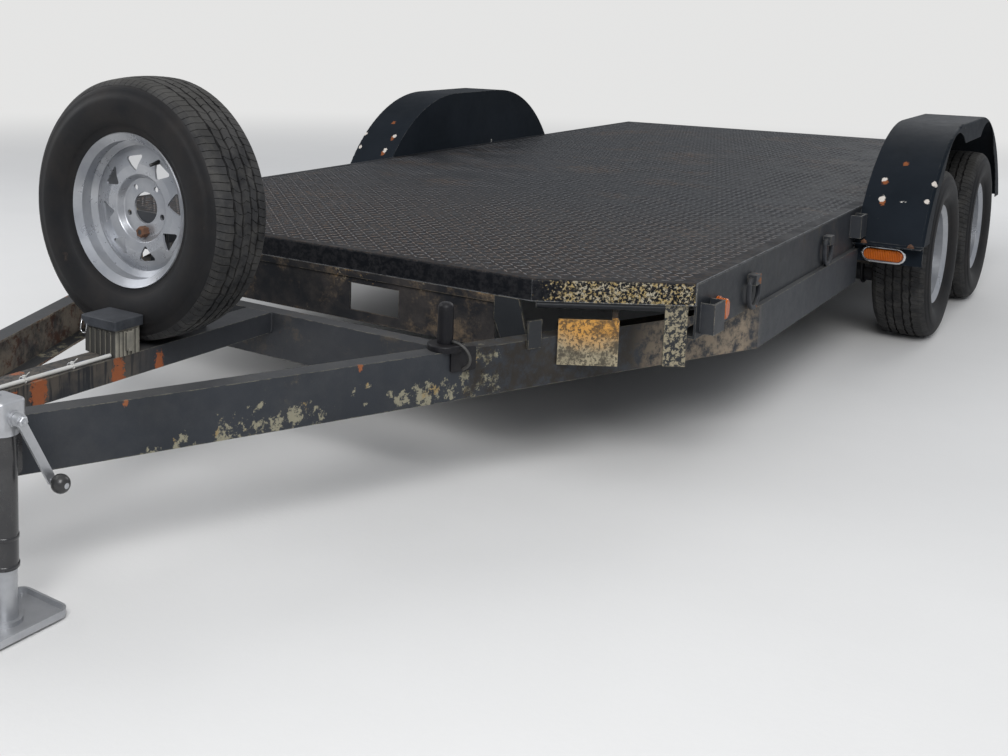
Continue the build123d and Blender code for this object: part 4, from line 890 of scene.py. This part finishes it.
@dataclass(frozen=True)
class Studio:
    """A pale floor under soft light."""

    size: float = 60.0
    lamp_size: float = 4.0
    key_power: float = 420.0
    fill_power: float = 130.0
    sky: Colour = (0.8, 0.83, 0.88)
    sky_strength: float = 0.6
    backdrop: Colour = (0.78, 0.78, 0.775)
    fade_from: float = 4.2
    fade_to: float = 11.0

    def build(self) -> None:
        """Lay the floor, hang the lamps and set the sky."""
        bpy.ops.mesh.primitive_plane_add(size=self.size, location=(0.0, 0.0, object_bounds()[0][2]))
        floor = bpy.context.active_object
        floor.name = "studio_floor"
        board = NodeBoard("studio floor")
        tone = board.mix(board.noise(0.9, 6.0, 0.6), (0.66, 0.655, 0.645), (0.74, 0.735, 0.725))
        board.relief(board.noise(60.0, 5.0, 0.7), 0.3, 0.002)
        material = board.surface(tone, board.mix(board.noise(4.0), (0.75,) * 3, (0.95,) * 3))
        self.fade(board)
        floor.data.materials.append(material)
        floor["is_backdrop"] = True
        self.lamp("key_lamp", (3.4, -6.2, 5.6), (0.2, -1.2, 0.4), self.key_power)
        self.lamp("fill_lamp", (-5.2, -3.0, 3.8), (0.0, -0.5, 0.4), self.fill_power)
        self.lamp("back_lamp", (1.5, 6.5, 4.6), (0.0, 1.0, 0.4), self.fill_power)
        self.hang_sky()

    def fade(self, board: NodeBoard) -> None:
        """Blend the floor into the pale background far from the trailer.

        Args:
            board: The floor's nodes.
        """
        far = board.measure("LENGTH", board.coords).band(self.fade_from, self.fade_to)
        seen = board.node("LightPath").outputs["Is Camera Ray"]
        glow = board.node("Emission", Color=self.backdrop, Strength=1.0)
        blend = board.node("MixShader", far * seen, board.shader.outputs["BSDF"], glow.outputs["Emission"])
        board.feed(board.output.inputs["Surface"], blend.outputs["Shader"])

    def lamp(self, name: str, place: Point, aim: Point, power: float) -> None:
        """Hang one square area lamp.

        Args:
            name: The lamp's name.
            place: Where it hangs.
            aim: What it faces.
            power: Its power in watts.
        """
        light = bpy.data.lights.new(name, "AREA")
        light.size = self.lamp_size
        light.energy = power
        lamp = bpy.data.objects.new(name, light)
        bpy.context.scene.collection.objects.link(lamp)
        lamp.location = place
        lamp.rotation_euler = (Vector(aim) - Vector(place)).to_track_quat("-Z", "Y").to_euler()

    def hang_sky(self) -> None:
        """Light the scene from a plain sky that the camera sees as pale grey."""
        world = bpy.data.worlds.new("soft sky")
        bpy.context.scene.world = world
        world.use_nodes = True
        sky = NodeTree(world.node_tree)
        lit = sky.node("Background", Color=self.sky, Strength=self.sky_strength).outputs["Background"]
        seen = sky.node("Background", Color=self.backdrop).outputs["Background"]
        pick = sky.node("MixShader", sky.node("LightPath").outputs["Is Camera Ray"], lit, seen)
        sky.node("OutputWorld", pick.outputs["Shader"])


@dataclass(frozen=True)
class PhotoCamera:
    """The camera at the photograph's place and angle, in degrees, metres and the photograph's pixels."""

    place: Point = (2.0606, -4.3095, 1.2102)
    azimuth: float = 37.8
    pitch: float = 7.7
    roll: float = 0.9
    focal: float = 1187.0
    middle: tuple[float, float] = (295.2, 176.3)
    image: tuple[int, int] = (1008, 756)
    sensor: float = 36.0

    def build(self) -> None:
        """Create the camera and make it the scene's."""
        turn, dip, lean = (math.radians(angle) for angle in (self.azimuth, self.pitch, self.roll))
        ahead = Vector((-math.sin(turn) * math.cos(dip), math.cos(turn) * math.cos(dip), -math.sin(dip)))
        level = ahead.cross(UP).normalized()
        upright = level.cross(ahead)
        right = level * math.cos(lean) + upright * math.sin(lean)
        above = upright * math.cos(lean) - level * math.sin(lean)
        data = bpy.data.cameras.new("photo_camera")
        data.sensor_width = self.sensor
        data.lens = self.focal * self.sensor / self.image[0]
        data.shift_x = (self.image[0] / 2 - self.middle[0]) / self.image[0]
        data.shift_y = (self.middle[1] - self.image[1] / 2) / self.image[0]
        camera = bpy.data.objects.new("photo_camera", data)
        bpy.context.scene.collection.objects.link(camera)
        camera.matrix_world = Matrix.Translation(self.place) @ Matrix((right, above, -ahead)).transposed().to_4x4()
        bpy.context.scene.camera = camera


@dataclass(frozen=True)
class DeckSheet:
    """The tread plate: raised lozenges in alternating directions all over the deck."""

    pitch: float = 0.0285
    length: float = 0.027
    width: float = 0.0075
    height: float = 0.0014
    margin: float = 0.022
    clip_x: float = 0.348
    clip_y: float = 0.235

    def build(self) -> None:
        """Press the lozenges."""
        low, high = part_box("deck_plate")
        top = high[2]
        shape = Shape()
        columns = int((high[0] - low[0] - 2 * self.margin) / self.pitch)
        rows = int((high[1] - low[1] - 2 * self.margin) / self.pitch)
        start_x = (low[0] + high[0]) / 2 - self.pitch * (columns - 1) / 2
        start_y = (low[1] + high[1]) / 2 - self.pitch * (rows - 1) / 2
        for row in range(rows):
            for column in range(columns):
                middle = Vector((start_x + column * self.pitch, start_y + row * self.pitch, top))
                if self.off_corner(middle, high[0], low[1]):
                    self.lozenge(shape, middle, 45.0 if (row + column) % 2 else -45.0)
        shape.build("deck_lozenges", CHASSIS, "deck_steel", Finish.LOZENGE)

    def off_corner(self, middle: Vector, half: float, front: float) -> bool:
        """Whether a lozenge is clear of the deck's clipped front corners.

        Args:
            middle: The lozenge's middle.
            half: Half the deck's width.
            front: The deck's front edge.

        Returns:
            Whether it stays.
        """
        across = (half - abs(middle.x)) / self.clip_x
        back = (middle.y - front) / self.clip_y
        return across + back > 1.0 + 1.4 * self.margin / self.clip_y

    def lozenge(self, shape: Shape, middle: Vector, degrees: float) -> None:
        """Add one lozenge with a ridge along it.

        Args:
            shape: What it is added to.
            middle: Its middle on the deck.
            degrees: Its direction.
        """
        along = Vector((math.cos(math.radians(degrees)), math.sin(math.radians(degrees)), 0.0))
        across = Vector((-along.y, along.x, 0.0))
        half, side = self.length / 2, self.width / 2
        rim = [middle + along * half * reach + across * side * out
               for reach, out in ((1, 0), (0.35, 1), (-0.35, 1), (-1, 0), (-0.35, -1), (0.35, -1))]
        ridge = [middle + along * half * reach + UP * self.height for reach in (0.45, -0.45)]
        shape.add(rim + ridge, [(0, 1, 6), (1, 2, 7, 6), (2, 3, 7), (3, 4, 7), (4, 5, 6, 7), (5, 0, 6)])

    def dress(self) -> None:
        """Paint the sheet."""
        dress(Finish.DECK, "deck_plate")


@dataclass(frozen=True)
class MainFrame:
    """Side rails, headers, corners, cross members, pockets and rings."""

    pockets: tuple[tuple[float, float], ...] = ((0.312, 0.404), (1.875, 0.442), (4.0, 0.404), (4.7, 0.404))
    pocket_half: float = 0.0405
    weld_height: float = 0.074

    def dress(self) -> None:
        """Paint the frame's members."""
        dress(Finish.HEADER, "front_header", "rear_header")
        dress(Finish.FRAME, "cross_members", *both("main_rail"))
        dress(Finish.CORNER, *both("corner_frame"))
        dress(Finish.POCKET, *both("stake_pockets"))
        dress(Finish.RING, *both("tie_rings"))
        dress(Finish.BAR, *both("corner_bar"))

    def build(self) -> None:
        """Run the weld beads that hold the members together."""
        shape = Shape()
        seams = random.Random(11)
        for side in SIDES.values():
            _, rail_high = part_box("main_rail_left")
            for place, foot in self.pockets:
                middle = DECK_FRONT + place
                for end in (-self.pocket_half, self.pocket_half):
                    path = [Vector((side * (rail_high[0] + 0.001), middle + end,
                                    foot + 0.004 + self.weld_height * step / 12)) for step in range(13)]
                    path = [point + Vector((0.0, seams.uniform(-0.0006, 0.0006), 0.0)) for point in path]
                    shape.tube(path, 0.0032, 6)
        shape.build("pocket_welds", CHASSIS, "frame_paint", Finish.POCKET)


@dataclass(frozen=True)
class Tongue:
    """The two wrap rails, their cross channel, the centre beam and the coupler."""

    nose_x: float = 0.049
    nose_y: float = -3.145
    slope: float = 0.434
    bolt_z: float = 0.331
    bolt_ys: tuple[float, ...] = (-3.118, -3.05)
    bolt_across: float = 0.026

    def rail_out(self, y: float) -> float:
        """How far out a rail's web lies at y."""
        return self.nose_x + self.slope * (y - self.nose_y)

    def outward(self, side: int) -> Vector:
        """The direction that a rail's web faces."""
        return Vector((side, -self.slope, 0.0)).normalized()

    def build(self) -> None:
        """Fit the coupler's bolts and the weld beads."""
        bolts = Shape()
        for side in SIDES.values():
            for y in self.bolt_ys:
                foot = Vector((side * (self.rail_out(y) + 0.0073), y, self.bolt_z))
                bolts.bolt(foot, self.outward(side), self.bolt_across, 0.034)
        bolts.build("coupler_bolts", CHASSIS, "zinc", Finish.RUSTY)
        beads = Shape()
        seams = random.Random(5)
        low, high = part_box("tongue_beam")
        for side in SIDES.values():
            path = [Vector((side * high[0], high[1] - 0.001, low[2] + (high[2] - low[2]) * step / 9))
                    for step in range(10)]
            beads.tube([point + Vector((seams.uniform(-0.001, 0.001), 0, 0)) for point in path], 0.004, 6)
            y = high[1]
            path = [Vector((side * (self.rail_out(y + 0.03 * step / 5) - 0.008), y + 0.05 * step / 5, high[2]))
                    for step in range(6)]
            beads.tube(path, 0.0035, 6)
        beads.build("tongue_welds", CHASSIS, "frame_paint", Finish.BEAM)

    def dress(self) -> None:
        """Paint the tongue."""
        dress(Finish.TONGUE, *both("tongue_rail"))
        dress(Finish.CROSS, "tongue_cross", "coupler")
        dress(Finish.BEAM, "tongue_beam")
        dress(Finish.MOUNT, "spare_mount")
        dress(Finish.ZINC, "coupler_latch")


@dataclass(frozen=True)
class Tyre:
    """A ribbed road tyre: a carcass with five ribs cut by sipes."""

    radius: float = 0.331
    half: float = 0.101
    rim: float = 0.195
    groove: float = 0.0075
    zigzag: float = 0.0018
    sipe: float = 0.0017
    crown_half: float = 0.072
    crown_drop: float = 0.005
    shoulder_width: float = 0.0165
    shoulder_drop: float = 0.0135

    def skin(self) -> list[tuple[float, float]]:
        """The carcass's section, from one bead over the tread base to the other and back inside."""
        base = self.radius - self.groove
        outer = [(0.0635, 0.179), (0.0757, 0.201), (0.0762, 0.2045), (0.085, 0.215), (0.0862, 0.216), (0.0935, 0.23),
                 (0.099, 0.246), (0.1008, 0.26), (0.1, 0.276), (0.0975, 0.288), (0.0963, 0.2886), (0.095, 0.299),
                 (0.0915, 0.307), (0.088, 0.312), (0.08, 0.315), (0.072, base - 0.004), (0.045, base - 0.0014),
                 (0.02, base)]
        inner = [(0.048, 0.1785), (0.062, 0.2), (0.087, 0.255), (0.076, 0.295), (0.06, 0.309)]
        right = outer + [(-x, r) for x, r in reversed(outer)]
        return right + [(-x, r) for x, r in inner] + list(reversed(inner)) + [outer[0]]

    def crown(self, across: float) -> float:
        """The tread's radius at a distance from the middle plane."""
        return self.radius - self.crown_drop * (across / self.crown_half) ** 2

    def ribs(self) -> list[tuple[tuple[float, ...], int, float, float]]:
        """Each rib's edges and points across, its blocks in a turn, their slant and their zigzag."""
        shoulder = (0.046, 0.062, 0.074, 0.083, 0.0885)
        rows = [((-0.0125, 0.0, 0.0125), 78, 0.0, 0.6), ((0.019, 0.029, 0.039), 78, 0.012, 1.0),
                ((-0.039, -0.029, -0.019), 78, 0.012, 1.0), (shoulder, 104, 0.01, 1.0),
                (tuple(-x for x in reversed(shoulder)), 104, 0.01, 1.0)]
        return rows

    def build(self, name: str, centre: Vector, axis: Vector, body: str, node: str) -> None:
        """Build a tyre in place of its plain solid.

        Args:
            name: The first part of the pieces' names.
            centre: The middle of the wheel.
            axis: Its axle's direction.
            body: The body that it rides on.
            node: The solid that it replaces.
        """
        carcass = Shape()
        carcass.lathe([(x + self.half, r) for x, r in self.skin()], centre - axis * self.half, axis, 96)
        piece = carcass.build(f"{name}_carcass", body, "tyre_rubber", Finish.RUBBER)
        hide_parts(node)
        tread = Shape()
        side = axis.orthogonal().normalized()
        other = axis.cross(side)

        def place(across: float, radius: float, angle: float) -> Vector:
            """A point of the tread."""
            return centre + axis * across + (side * math.cos(angle) + other * math.sin(angle)) * radius

        for stations, count, slant, wander in self.ribs():
            self.cut_rib(tread, place, stations, count, slant, wander)
        tread.build(f"{name}_tread", body, "tyre_rubber", Finish.TREAD)

    def cut_rib(self, tread: Shape, place: Callable[[float, float, float], Vector], stations: Sequence[float],
                count: int, slant: float, wander: float) -> None:
        """Add a rib's blocks all round the tyre.

        Args:
            tread: What they are added to.
            place: Turns across, radius and angle into a point.
            stations: Distances from the middle plane across the rib.
            count: Blocks in a turn.
            slant: How far a sipe leans round the tyre over the rib's width.
            wander: The share of the groove's zigzag.
        """
        step = math.tau / count
        gap = self.sipe / self.radius / 2
        width = stations[-1] - stations[0]
        for block in range(count):
            shift = self.zigzag * wander * (1 if block % 2 else -1)
            points = []
            for end in (0, 1):
                for number, across in enumerate(stations):
                    lean = slant / self.radius * ((across - stations[0]) / width) ** 1.5
                    bow = 0.006 / self.radius * (1 - abs(2 * (across - stations[0]) / width - 1)) if slant == 0 else 0
                    angle = block * step + (gap if end == 0 else step - gap) + lean + bow
                    edge = number in (0, len(stations) - 1) and abs(across) < 0.06
                    where = across + (shift if end == 0 else -shift) if edge else across
                    top = self.crown(where) if abs(where) < 0.075 else self.shoulder(abs(where))
                    points += [place(where, top, angle), place(where, top - self.groove - 0.003, angle)]
            count_across = len(stations)
            near = [2 * number for number in range(count_across)]
            far = [2 * count_across + 2 * number for number in range(count_across)]
            faces = []
            for number in range(count_across - 1):
                a, b, c, d = near[number], near[number + 1], far[number + 1], far[number]
                faces += [(a, b, c, d), (a + 1, b + 1, b, a), (d, c, c + 1, d + 1)]
            faces += [(near[0], far[0], far[0] + 1, near[0] + 1), (near[-1] + 1, far[-1] + 1, far[-1], near[-1])]
            tread.add(points, faces)

    def shoulder(self, across: float) -> float:
        """The shoulder's radius beyond the crown."""
        share = (across - self.crown_half) / self.shoulder_width
        return self.crown(self.crown_half) - self.shoulder_drop * max(0.0, share) ** 1.6


@dataclass(frozen=True)
class RoadWheel:
    """One road wheel: its tyre, wheel nuts, valve and hub cap."""

    axle: str
    side: str
    studs: int = 5
    nut: float = 0.0235

    def body(self) -> str:
        """The moving body that the wheel is part of."""
        return f"road_wheel_{self.axle}_{self.side}"

    def build(self) -> None:
        """Build the tyre, the nuts, the valve and the cap."""
        name = f"{self.axle}_{self.side}"
        centre = middle_of(f"tyre_{name}")
        out = Vector((SIDES[self.side], 0.0, 0.0))
        Tyre().build(f"road_{name}", centre, out, self.body(), f"tyre_{name}")
        nuts = Shape()
        for number in range(self.studs):
            angle = math.tau * number / self.studs + math.pi
            spoke = Vector((0.0, math.sin(angle), math.cos(angle)))
            seat = centre + out * 0.0055 + spoke * STUD_CIRCLE
            nuts.lathe([(0, 0.0125), (0.004, 0.0135), (0.0045, 0)], seat, out, 18, smooth=False)
            nuts.lathe([(0.002, self.nut / 2), (0.019, self.nut / 2), (0.0215, self.nut * 0.4), (0.0215, 0)], seat,
                       out, 6, smooth=False)
        nuts.build(f"wheel_nuts_{name}", self.body(), "zinc", Finish.CHROME)
        cap = Shape()
        cap.lathe([(0.028, 0.0402), (0.0345, 0.0402), (0.0395, 0.0365), (0.045, 0.031), (0.0475, 0.0265),
                   (0.0485, 0.0)], centre, out, 32)
        cap.build(f"hub_cap_{name}", self.body(), "zinc", Finish.ZINC)
        valve = Shape()
        spoke = Vector((0.0, math.sin(0.4), math.cos(0.4)))
        foot = centre + out * 0.022 + spoke * 0.152
        valve.lathe([(0, 0.0075), (0.008, 0.0055), (0.022, 0.0042), (0.03, 0.0042), (0.032, 0)], foot, out, 12)
        valve.build(f"valve_{name}", self.body(), "tyre_rubber", Finish.KNOB)

    def dress(self) -> None:
        """Paint the wheel and its drum."""
        name = f"{self.axle}_{self.side}"
        dress(Finish.SILVER, f"wheel_{name}")
        dress(Finish.DRUM, f"hub_{name}")


@dataclass(frozen=True)
class SpareWheel:
    """The spare, upright on the centre beam, held by one nut."""

    valve_angle: float = math.radians(26.0)

    def build(self) -> None:
        """Build the tyre, the nut and the valve."""
        centre = middle_of("spare_tyre")
        Tyre().build("spare", centre, FORWARD, CHASSIS, "spare_tyre")
        nut = Shape()
        seat = centre + FORWARD * 0.0063 - UP * STUD_CIRCLE
        nut.lathe([(0.0, 0.0145), (0.02, 0.0145), (0.0225, 0.012), (0.0225, 0.0075), (0.02, 0.007), (0.02, 0.0)],
                  seat, FORWARD, 6, smooth=False)
        nut.build("spare_nut", CHASSIS, "zinc", Finish.RUSTY)
        valve = Shape()
        spoke = Vector((math.sin(self.valve_angle), 0.0, math.cos(self.valve_angle)))
        foot = centre + FORWARD * 0.012 + spoke * 0.138
        tilt = (FORWARD + spoke * -0.25).normalized()
        valve.lathe([(0, 0.0078), (0.01, 0.0058), (0.026, 0.0043), (0.036, 0.0043), (0.038, 0)], foot, tilt, 12)
        valve.build("spare_valve", CHASSIS, "tyre_rubber", Finish.KNOB)

    def dress(self) -> None:
        """Paint the spare's wheel."""
        dress(Finish.SILVER, "spare_wheel")


@dataclass(frozen=True)
class RunningGear:
    """Axles, leaf springs, hangers, and the clamps that hold the springs down."""

    clamp_bar: float = 0.0065
    clamp_out: float = 0.03
    plate_half: tuple[float, float] = (0.036, 0.06)
    plate_thickness: float = 0.008
    plate_rise: float = 0.0325
    axle_tube: float = 0.038

    def build(self) -> None:
        """Fit the clamps, their plates and nuts."""
        clamps = Shape()
        nuts = Shape()
        for side in SIDES.values():
            spring_low, spring_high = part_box("leaf_springs_left")
            spring_x = side * (spring_low[0] + spring_high[0]) / 2
            seat_z = spring_low[2]
            for axle in ("front", "rear"):
                low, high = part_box(f"axle_{axle}")
                middle_y = (low[1] + high[1]) / 2
                tube_z = low[2] + self.axle_tube
                plate_z = seat_z + self.plate_rise
                half_x, half_y = self.plate_half
                clamps.box((spring_x - half_x, middle_y - half_y, plate_z),
                           (spring_x + half_x, middle_y + half_y, plate_z + self.plate_thickness))
                reach = self.axle_tube + self.clamp_bar + 0.0005
                for way in (-1, 1):
                    x = spring_x + way * self.clamp_out
                    leg_top = plate_z + self.plate_thickness + 0.026
                    path = [Vector((x, middle_y - reach, leg_top))]
                    for angle in (math.pi * step / 12 for step in range(13)):
                        path.append(Vector((x, middle_y - reach * math.cos(angle), tube_z - reach * math.sin(angle))))
                    path.append(Vector((x, middle_y + reach, leg_top)))
                    clamps.tube(path, self.clamp_bar, 8)
                    for leg in (-1, 1):
                        nuts.bolt(Vector((x, middle_y + leg * reach, plate_z + self.plate_thickness)), UP, 0.023,
                                  0.026)
        clamps.build("spring_clamps", CHASSIS, "frame_paint", Finish.AXLE)
        nuts.build("clamp_nuts", CHASSIS, "zinc", Finish.RUSTY)

    def dress(self) -> None:
        """Paint the running gear."""
        dress(Finish.AXLE, "axle_front", "axle_rear", *both("leaf_springs", "spring_hangers"))


@dataclass(frozen=True)
class Fenders:
    """The rolled fenders, their front brackets and the clearance lamps in bright bezels."""

    bezel_wall: float = 0.0085
    bezel_out: float = 0.0015
    bolt_across: float = 0.02

    def build(self) -> None:
        """Fit the bezels and the brackets' bolts."""
        bezels = Shape()
        bolts = Shape()
        for side_name, side in SIDES.items():
            low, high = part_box(f"fender_lamp_{side_name}")
            centre = (Vector(low) + Vector(high)) / 2
            length, height, depth = high[0] - low[0], high[2] - low[2], high[1] - low[1]
            outer = stadium(length + 2 * self.bezel_out, height + 2 * self.bezel_out)
            inner = stadium(length - 2 * self.bezel_wall, height - 2 * self.bezel_wall)
            rings = [(outer, high[1]), (outer, high[1] - depth * 0.5), (inner, high[1] - depth * 0.62),
                     (inner, high[1] - depth * 0.2)]
            points = [Vector((centre.x + x, y, centre.z + z)) for ring, y in rings for x, z in ring]
            bezels.skin(points, len(outer), smooth=True)
            bracket_low, bracket_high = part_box(f"fender_bracket_{side_name}")
            for share in (0.16, 0.84):
                x = bracket_low[0] + (bracket_high[0] - bracket_low[0]) * share
                bolts.bolt(Vector((x, bracket_low[1] + 0.018, bracket_high[2])), UP, self.bolt_across, 0.024)
        bezels.build("lamp_bezels", CHASSIS, "zinc", Finish.CHROME)
        bolts.build("bracket_bolts", CHASSIS, "zinc", Finish.RUSTY)

    def dress(self) -> None:
        """Paint the fenders and glaze the lamps."""
        dress(Finish.FENDER, *both("fender", "fender_bracket"))
        dress(Finish.AMBER, *both("fender_lamp", "side_lamp"))
        dress(Finish.RED, *both("tail_lamp"))


@dataclass(frozen=True)
class BatteryBox:
    """The small box ahead of the spare, with its hinged lid, bail and latch."""

    bail_bar: float = 0.0013
    bail_drop: float = 0.04
    bail_reach: float = 0.02

    def build(self) -> None:
        """Fit the bail on the lid, the latch and the hinge's knuckles."""
        low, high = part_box("box_lid")
        bail = Shape()
        foot = Vector((low[0] + 0.0035, low[1] - 0.0014, high[2] - 0.004))
        reach = Vector((self.bail_reach, 0.0, 0.0))
        path = [foot + UP * 0.003 + Vector((0.0, 0.006, 0.0)), foot - UP * self.bail_drop * 0.75]
        for angle in (math.pi * step / 8 for step in range(1, 8)):
            drop = UP * self.bail_drop * (0.75 + 0.25 * math.sin(angle))
            path.append(foot - drop + reach * (0.5 - 0.5 * math.cos(angle)))
        path += [foot + reach - UP * self.bail_drop * 0.75, foot + reach + UP * 0.003 + Vector((0.0, 0.006, 0.0))]
        bail.tube(path, self.bail_bar, 8)
        bail.build("lid_bail", "battery_lid", "zinc", Finish.CHROME)
        box_low, box_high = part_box("battery_box")
        latch = Shape()
        middle_y = (box_low[1] + box_high[1]) / 2
        latch.box((box_high[0] - 0.001, middle_y - 0.011, box_low[2] + 0.012),
                  (box_high[0] + 0.004, middle_y + 0.011, box_high[2] - 0.018))
        latch.box((box_high[0] + 0.003, middle_y - 0.008, box_low[2] + 0.01),
                  (box_high[0] + 0.0065, middle_y + 0.008, box_low[2] + 0.018))
        latch.build("box_latch", CHASSIS, "box_plastic", Finish.BOX, 0.0012)
        knuckles = Shape()
        for share in (0.2, 0.5, 0.8):
            y = box_low[1] + (box_high[1] - box_low[1]) * share
            middle = Vector((box_low[0] - 0.0035, y - 0.009, box_high[2] - 0.0035))
            knuckles.rod(middle, middle + Vector((0.0, 0.018, 0.0)), 0.0032)
        knuckles.build("lid_knuckles", CHASSIS, "box_plastic", Finish.LID)

    def dress(self) -> None:
        """Give the box and its lid their plastics."""
        dress(Finish.BOX, "battery_box")
        dress(Finish.LID, "box_lid")


@dataclass(frozen=True)
class Jack:
    """The side-wind jack, its pivot bracket, crank and foot."""

    knob: float = 0.0198
    ball: float = 0.019
    pivot_z: float = 0.432
    bracket_y: float = -2.866
    collar: float = 0.0285
    bolt_spread: tuple[float, float] = (0.042, 0.038)

    def build(self) -> None:
        """Fit the knob, the bolts of the head and the bracket, and the tube's collars."""
        crank_low, crank_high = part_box("jack_crank")
        knob = Shape()
        ball = self.ball
        middle = Vector((crank_high[0] - ball, crank_high[1] - ball, crank_low[2] + ball))
        turn = [(ball * (1 - math.cos(math.pi * step / 12)), self.knob * math.sin(math.pi * step / 12) ** 0.8)
                for step in range(13)]
        knob.lathe(turn, middle - Vector((ball + 0.0004, 0.0, 0.0)), LEFT, 28)
        knob.build("crank_knob", CHASSIS, "jack_black", Finish.KNOB)
        head_low, head_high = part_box("jack_head")
        axis_x = middle_of("jack_tube").x
        axis_y = (head_low[1] + head_high[1]) / 2
        bolts = Shape()
        bolts.bolt(Vector((crank_low[0] + 0.0142, axis_y, self.pivot_z)), LEFT, 0.022, 0.026)
        bolts.bolt(Vector((axis_x - 0.012, axis_y, head_high[2] - 0.0006)), UP, 0.014)
        for way in (-1, 1):
            bolts.bolt(Vector((axis_x + way * 0.022, head_low[1] + 0.0005, head_low[2] + 0.03)), FORWARD, 0.013)
        bolts.build("jack_bolts", CHASSIS, "zinc", Finish.ZINC)
        plate = Shape()
        outward = Tongue().outward(1)
        along = Vector((-outward.y, outward.x, 0.0))
        low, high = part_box("jack_bracket")
        plate_middle = Vector((Tongue().rail_out(self.bracket_y), self.bracket_y, (low[2] + high[2]) / 2))
        plate_middle += outward * 0.0087
        for rise in (-1, 1):
            for way in (-1, 1):
                spot = plate_middle + UP * rise * self.bolt_spread[0] + along * way * self.bolt_spread[1]
                plate.bolt(spot, outward, 0.019, 0.022)
        plate.build("bracket_plate_bolts", CHASSIS, "zinc", Finish.RUSTY)
        collar = Shape()
        tube_low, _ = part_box("jack_tube")
        for z, thick in ((tube_low[2] + 0.001, 0.004), (tube_low[2] + 0.06, 0.003)):
            collar.lathe([(0, self.collar), (0.001, self.collar + thick / 2), (0.008, self.collar + thick / 2),
                          (0.009, self.collar)], Vector((axis_x, axis_y, z)), UP, 32)
        collar.build("jack_collars", CHASSIS, "jack_black", Finish.JACK)

    def dress(self) -> None:
        """Paint and plate the jack."""
        dress(Finish.JACK, "jack_tube", "jack_bracket")
        dress(Finish.ZINC, "jack_head", "jack_leg", "jack_crank")


@dataclass(frozen=True)
class Wiring:
    """The lead along the centre beam, tied down, with a thin second wire and the stop's hose."""

    ties: tuple[float, ...] = (-2.93, -2.8, -2.66, -2.52)

    def build(self) -> None:
        """Run the thin wire and the hose, pull the ties tight and fit the plug."""
        low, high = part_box("wiring_lead")
        lead_x = (low[0] + high[0]) / 2
        lead_z = (low[2] + high[2]) / 2
        ties = Shape()
        for y in self.ties:
            ring = [Vector((lead_x - 0.005 + 0.0125 * math.cos(angle), y, lead_z + 0.0068 * math.sin(angle)))
                    for angle in (math.tau * step / 16 for step in range(17))]
            ties.tube(ring, 0.0014, 6)
            ties.box((lead_x - 0.004, y - 0.003, lead_z + 0.0055), (lead_x + 0.003, y + 0.003, lead_z + 0.0115))
            tail = [Vector((lead_x + 0.002 + 0.004 * step, y + 0.001 * step, lead_z + 0.009 + 0.004 * step))
                    for step in range(4)]
            ties.tube(tail, 0.0011, 6)
        ties.build("wire_ties", CHASSIS, "wire_sheath", Finish.WIRE_WHITE)
        wire = Shape()
        count = 60
        path = [Vector((lead_x - 0.0112 + 0.0012 * math.sin(step * 0.7), low[1] + (high[1] - low[1]) * step / count,
                        low[2] + 0.0031)) for step in range(count + 1)]
        wire.tube(path, 0.003, 8)
        wire.build("thin_wire", CHASSIS, "wire_sheath", Finish.WIRE_BLUE)
        plug = Shape()
        plug.box((lead_x - 0.018, low[1] - 0.03, low[2] + 0.0005), (lead_x + 0.008, low[1] + 0.012, low[2] + 0.013))
        plug.build("lead_plug", CHASSIS, "jack_black", Finish.KNOB, 0.002)
        stop_low, stop_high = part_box("stop_housing")
        hose = Shape()
        top = Vector(((stop_low[0] + stop_high[0]) / 2 + 0.008, stop_low[1] + 0.045, stop_low[2] + 0.056))
        run = [top + Vector((0.05 * math.sin(math.pi * share), 0.02 * share, 0.038 * math.cos(math.pi * share) - 0.02))
               for share in (step / 14 for step in range(15))]
        hose.tube(run, 0.004, 8)
        hose.build("stop_hose", CHASSIS, "wire_sheath", Finish.HOSE)

    def dress(self) -> None:
        """Give the lead and the stop's housing their finishes."""
        dress(Finish.WIRE_WHITE, "wiring_lead")
        dress(Finish.HOUSING, "stop_housing")


def main() -> None:
    """Build and dress the whole trailer, then the studio and the camera."""
    logging.basicConfig(level=logging.INFO, format="%(message)s")
    wheels = [RoadWheel(axle, side) for axle in ("front", "rear") for side in SIDES]
    for group in (DeckSheet(), MainFrame(), Tongue(), SpareWheel(), RunningGear(), Fenders(), BatteryBox(), Jack(),
                  Wiring(), *wheels):
        group.dress()
        group.build()
    Studio().build()
    PhotoCamera().build()
    bpy.context.scene.view_settings.view_transform = "Standard"


if __name__ == "__main__":
    main()
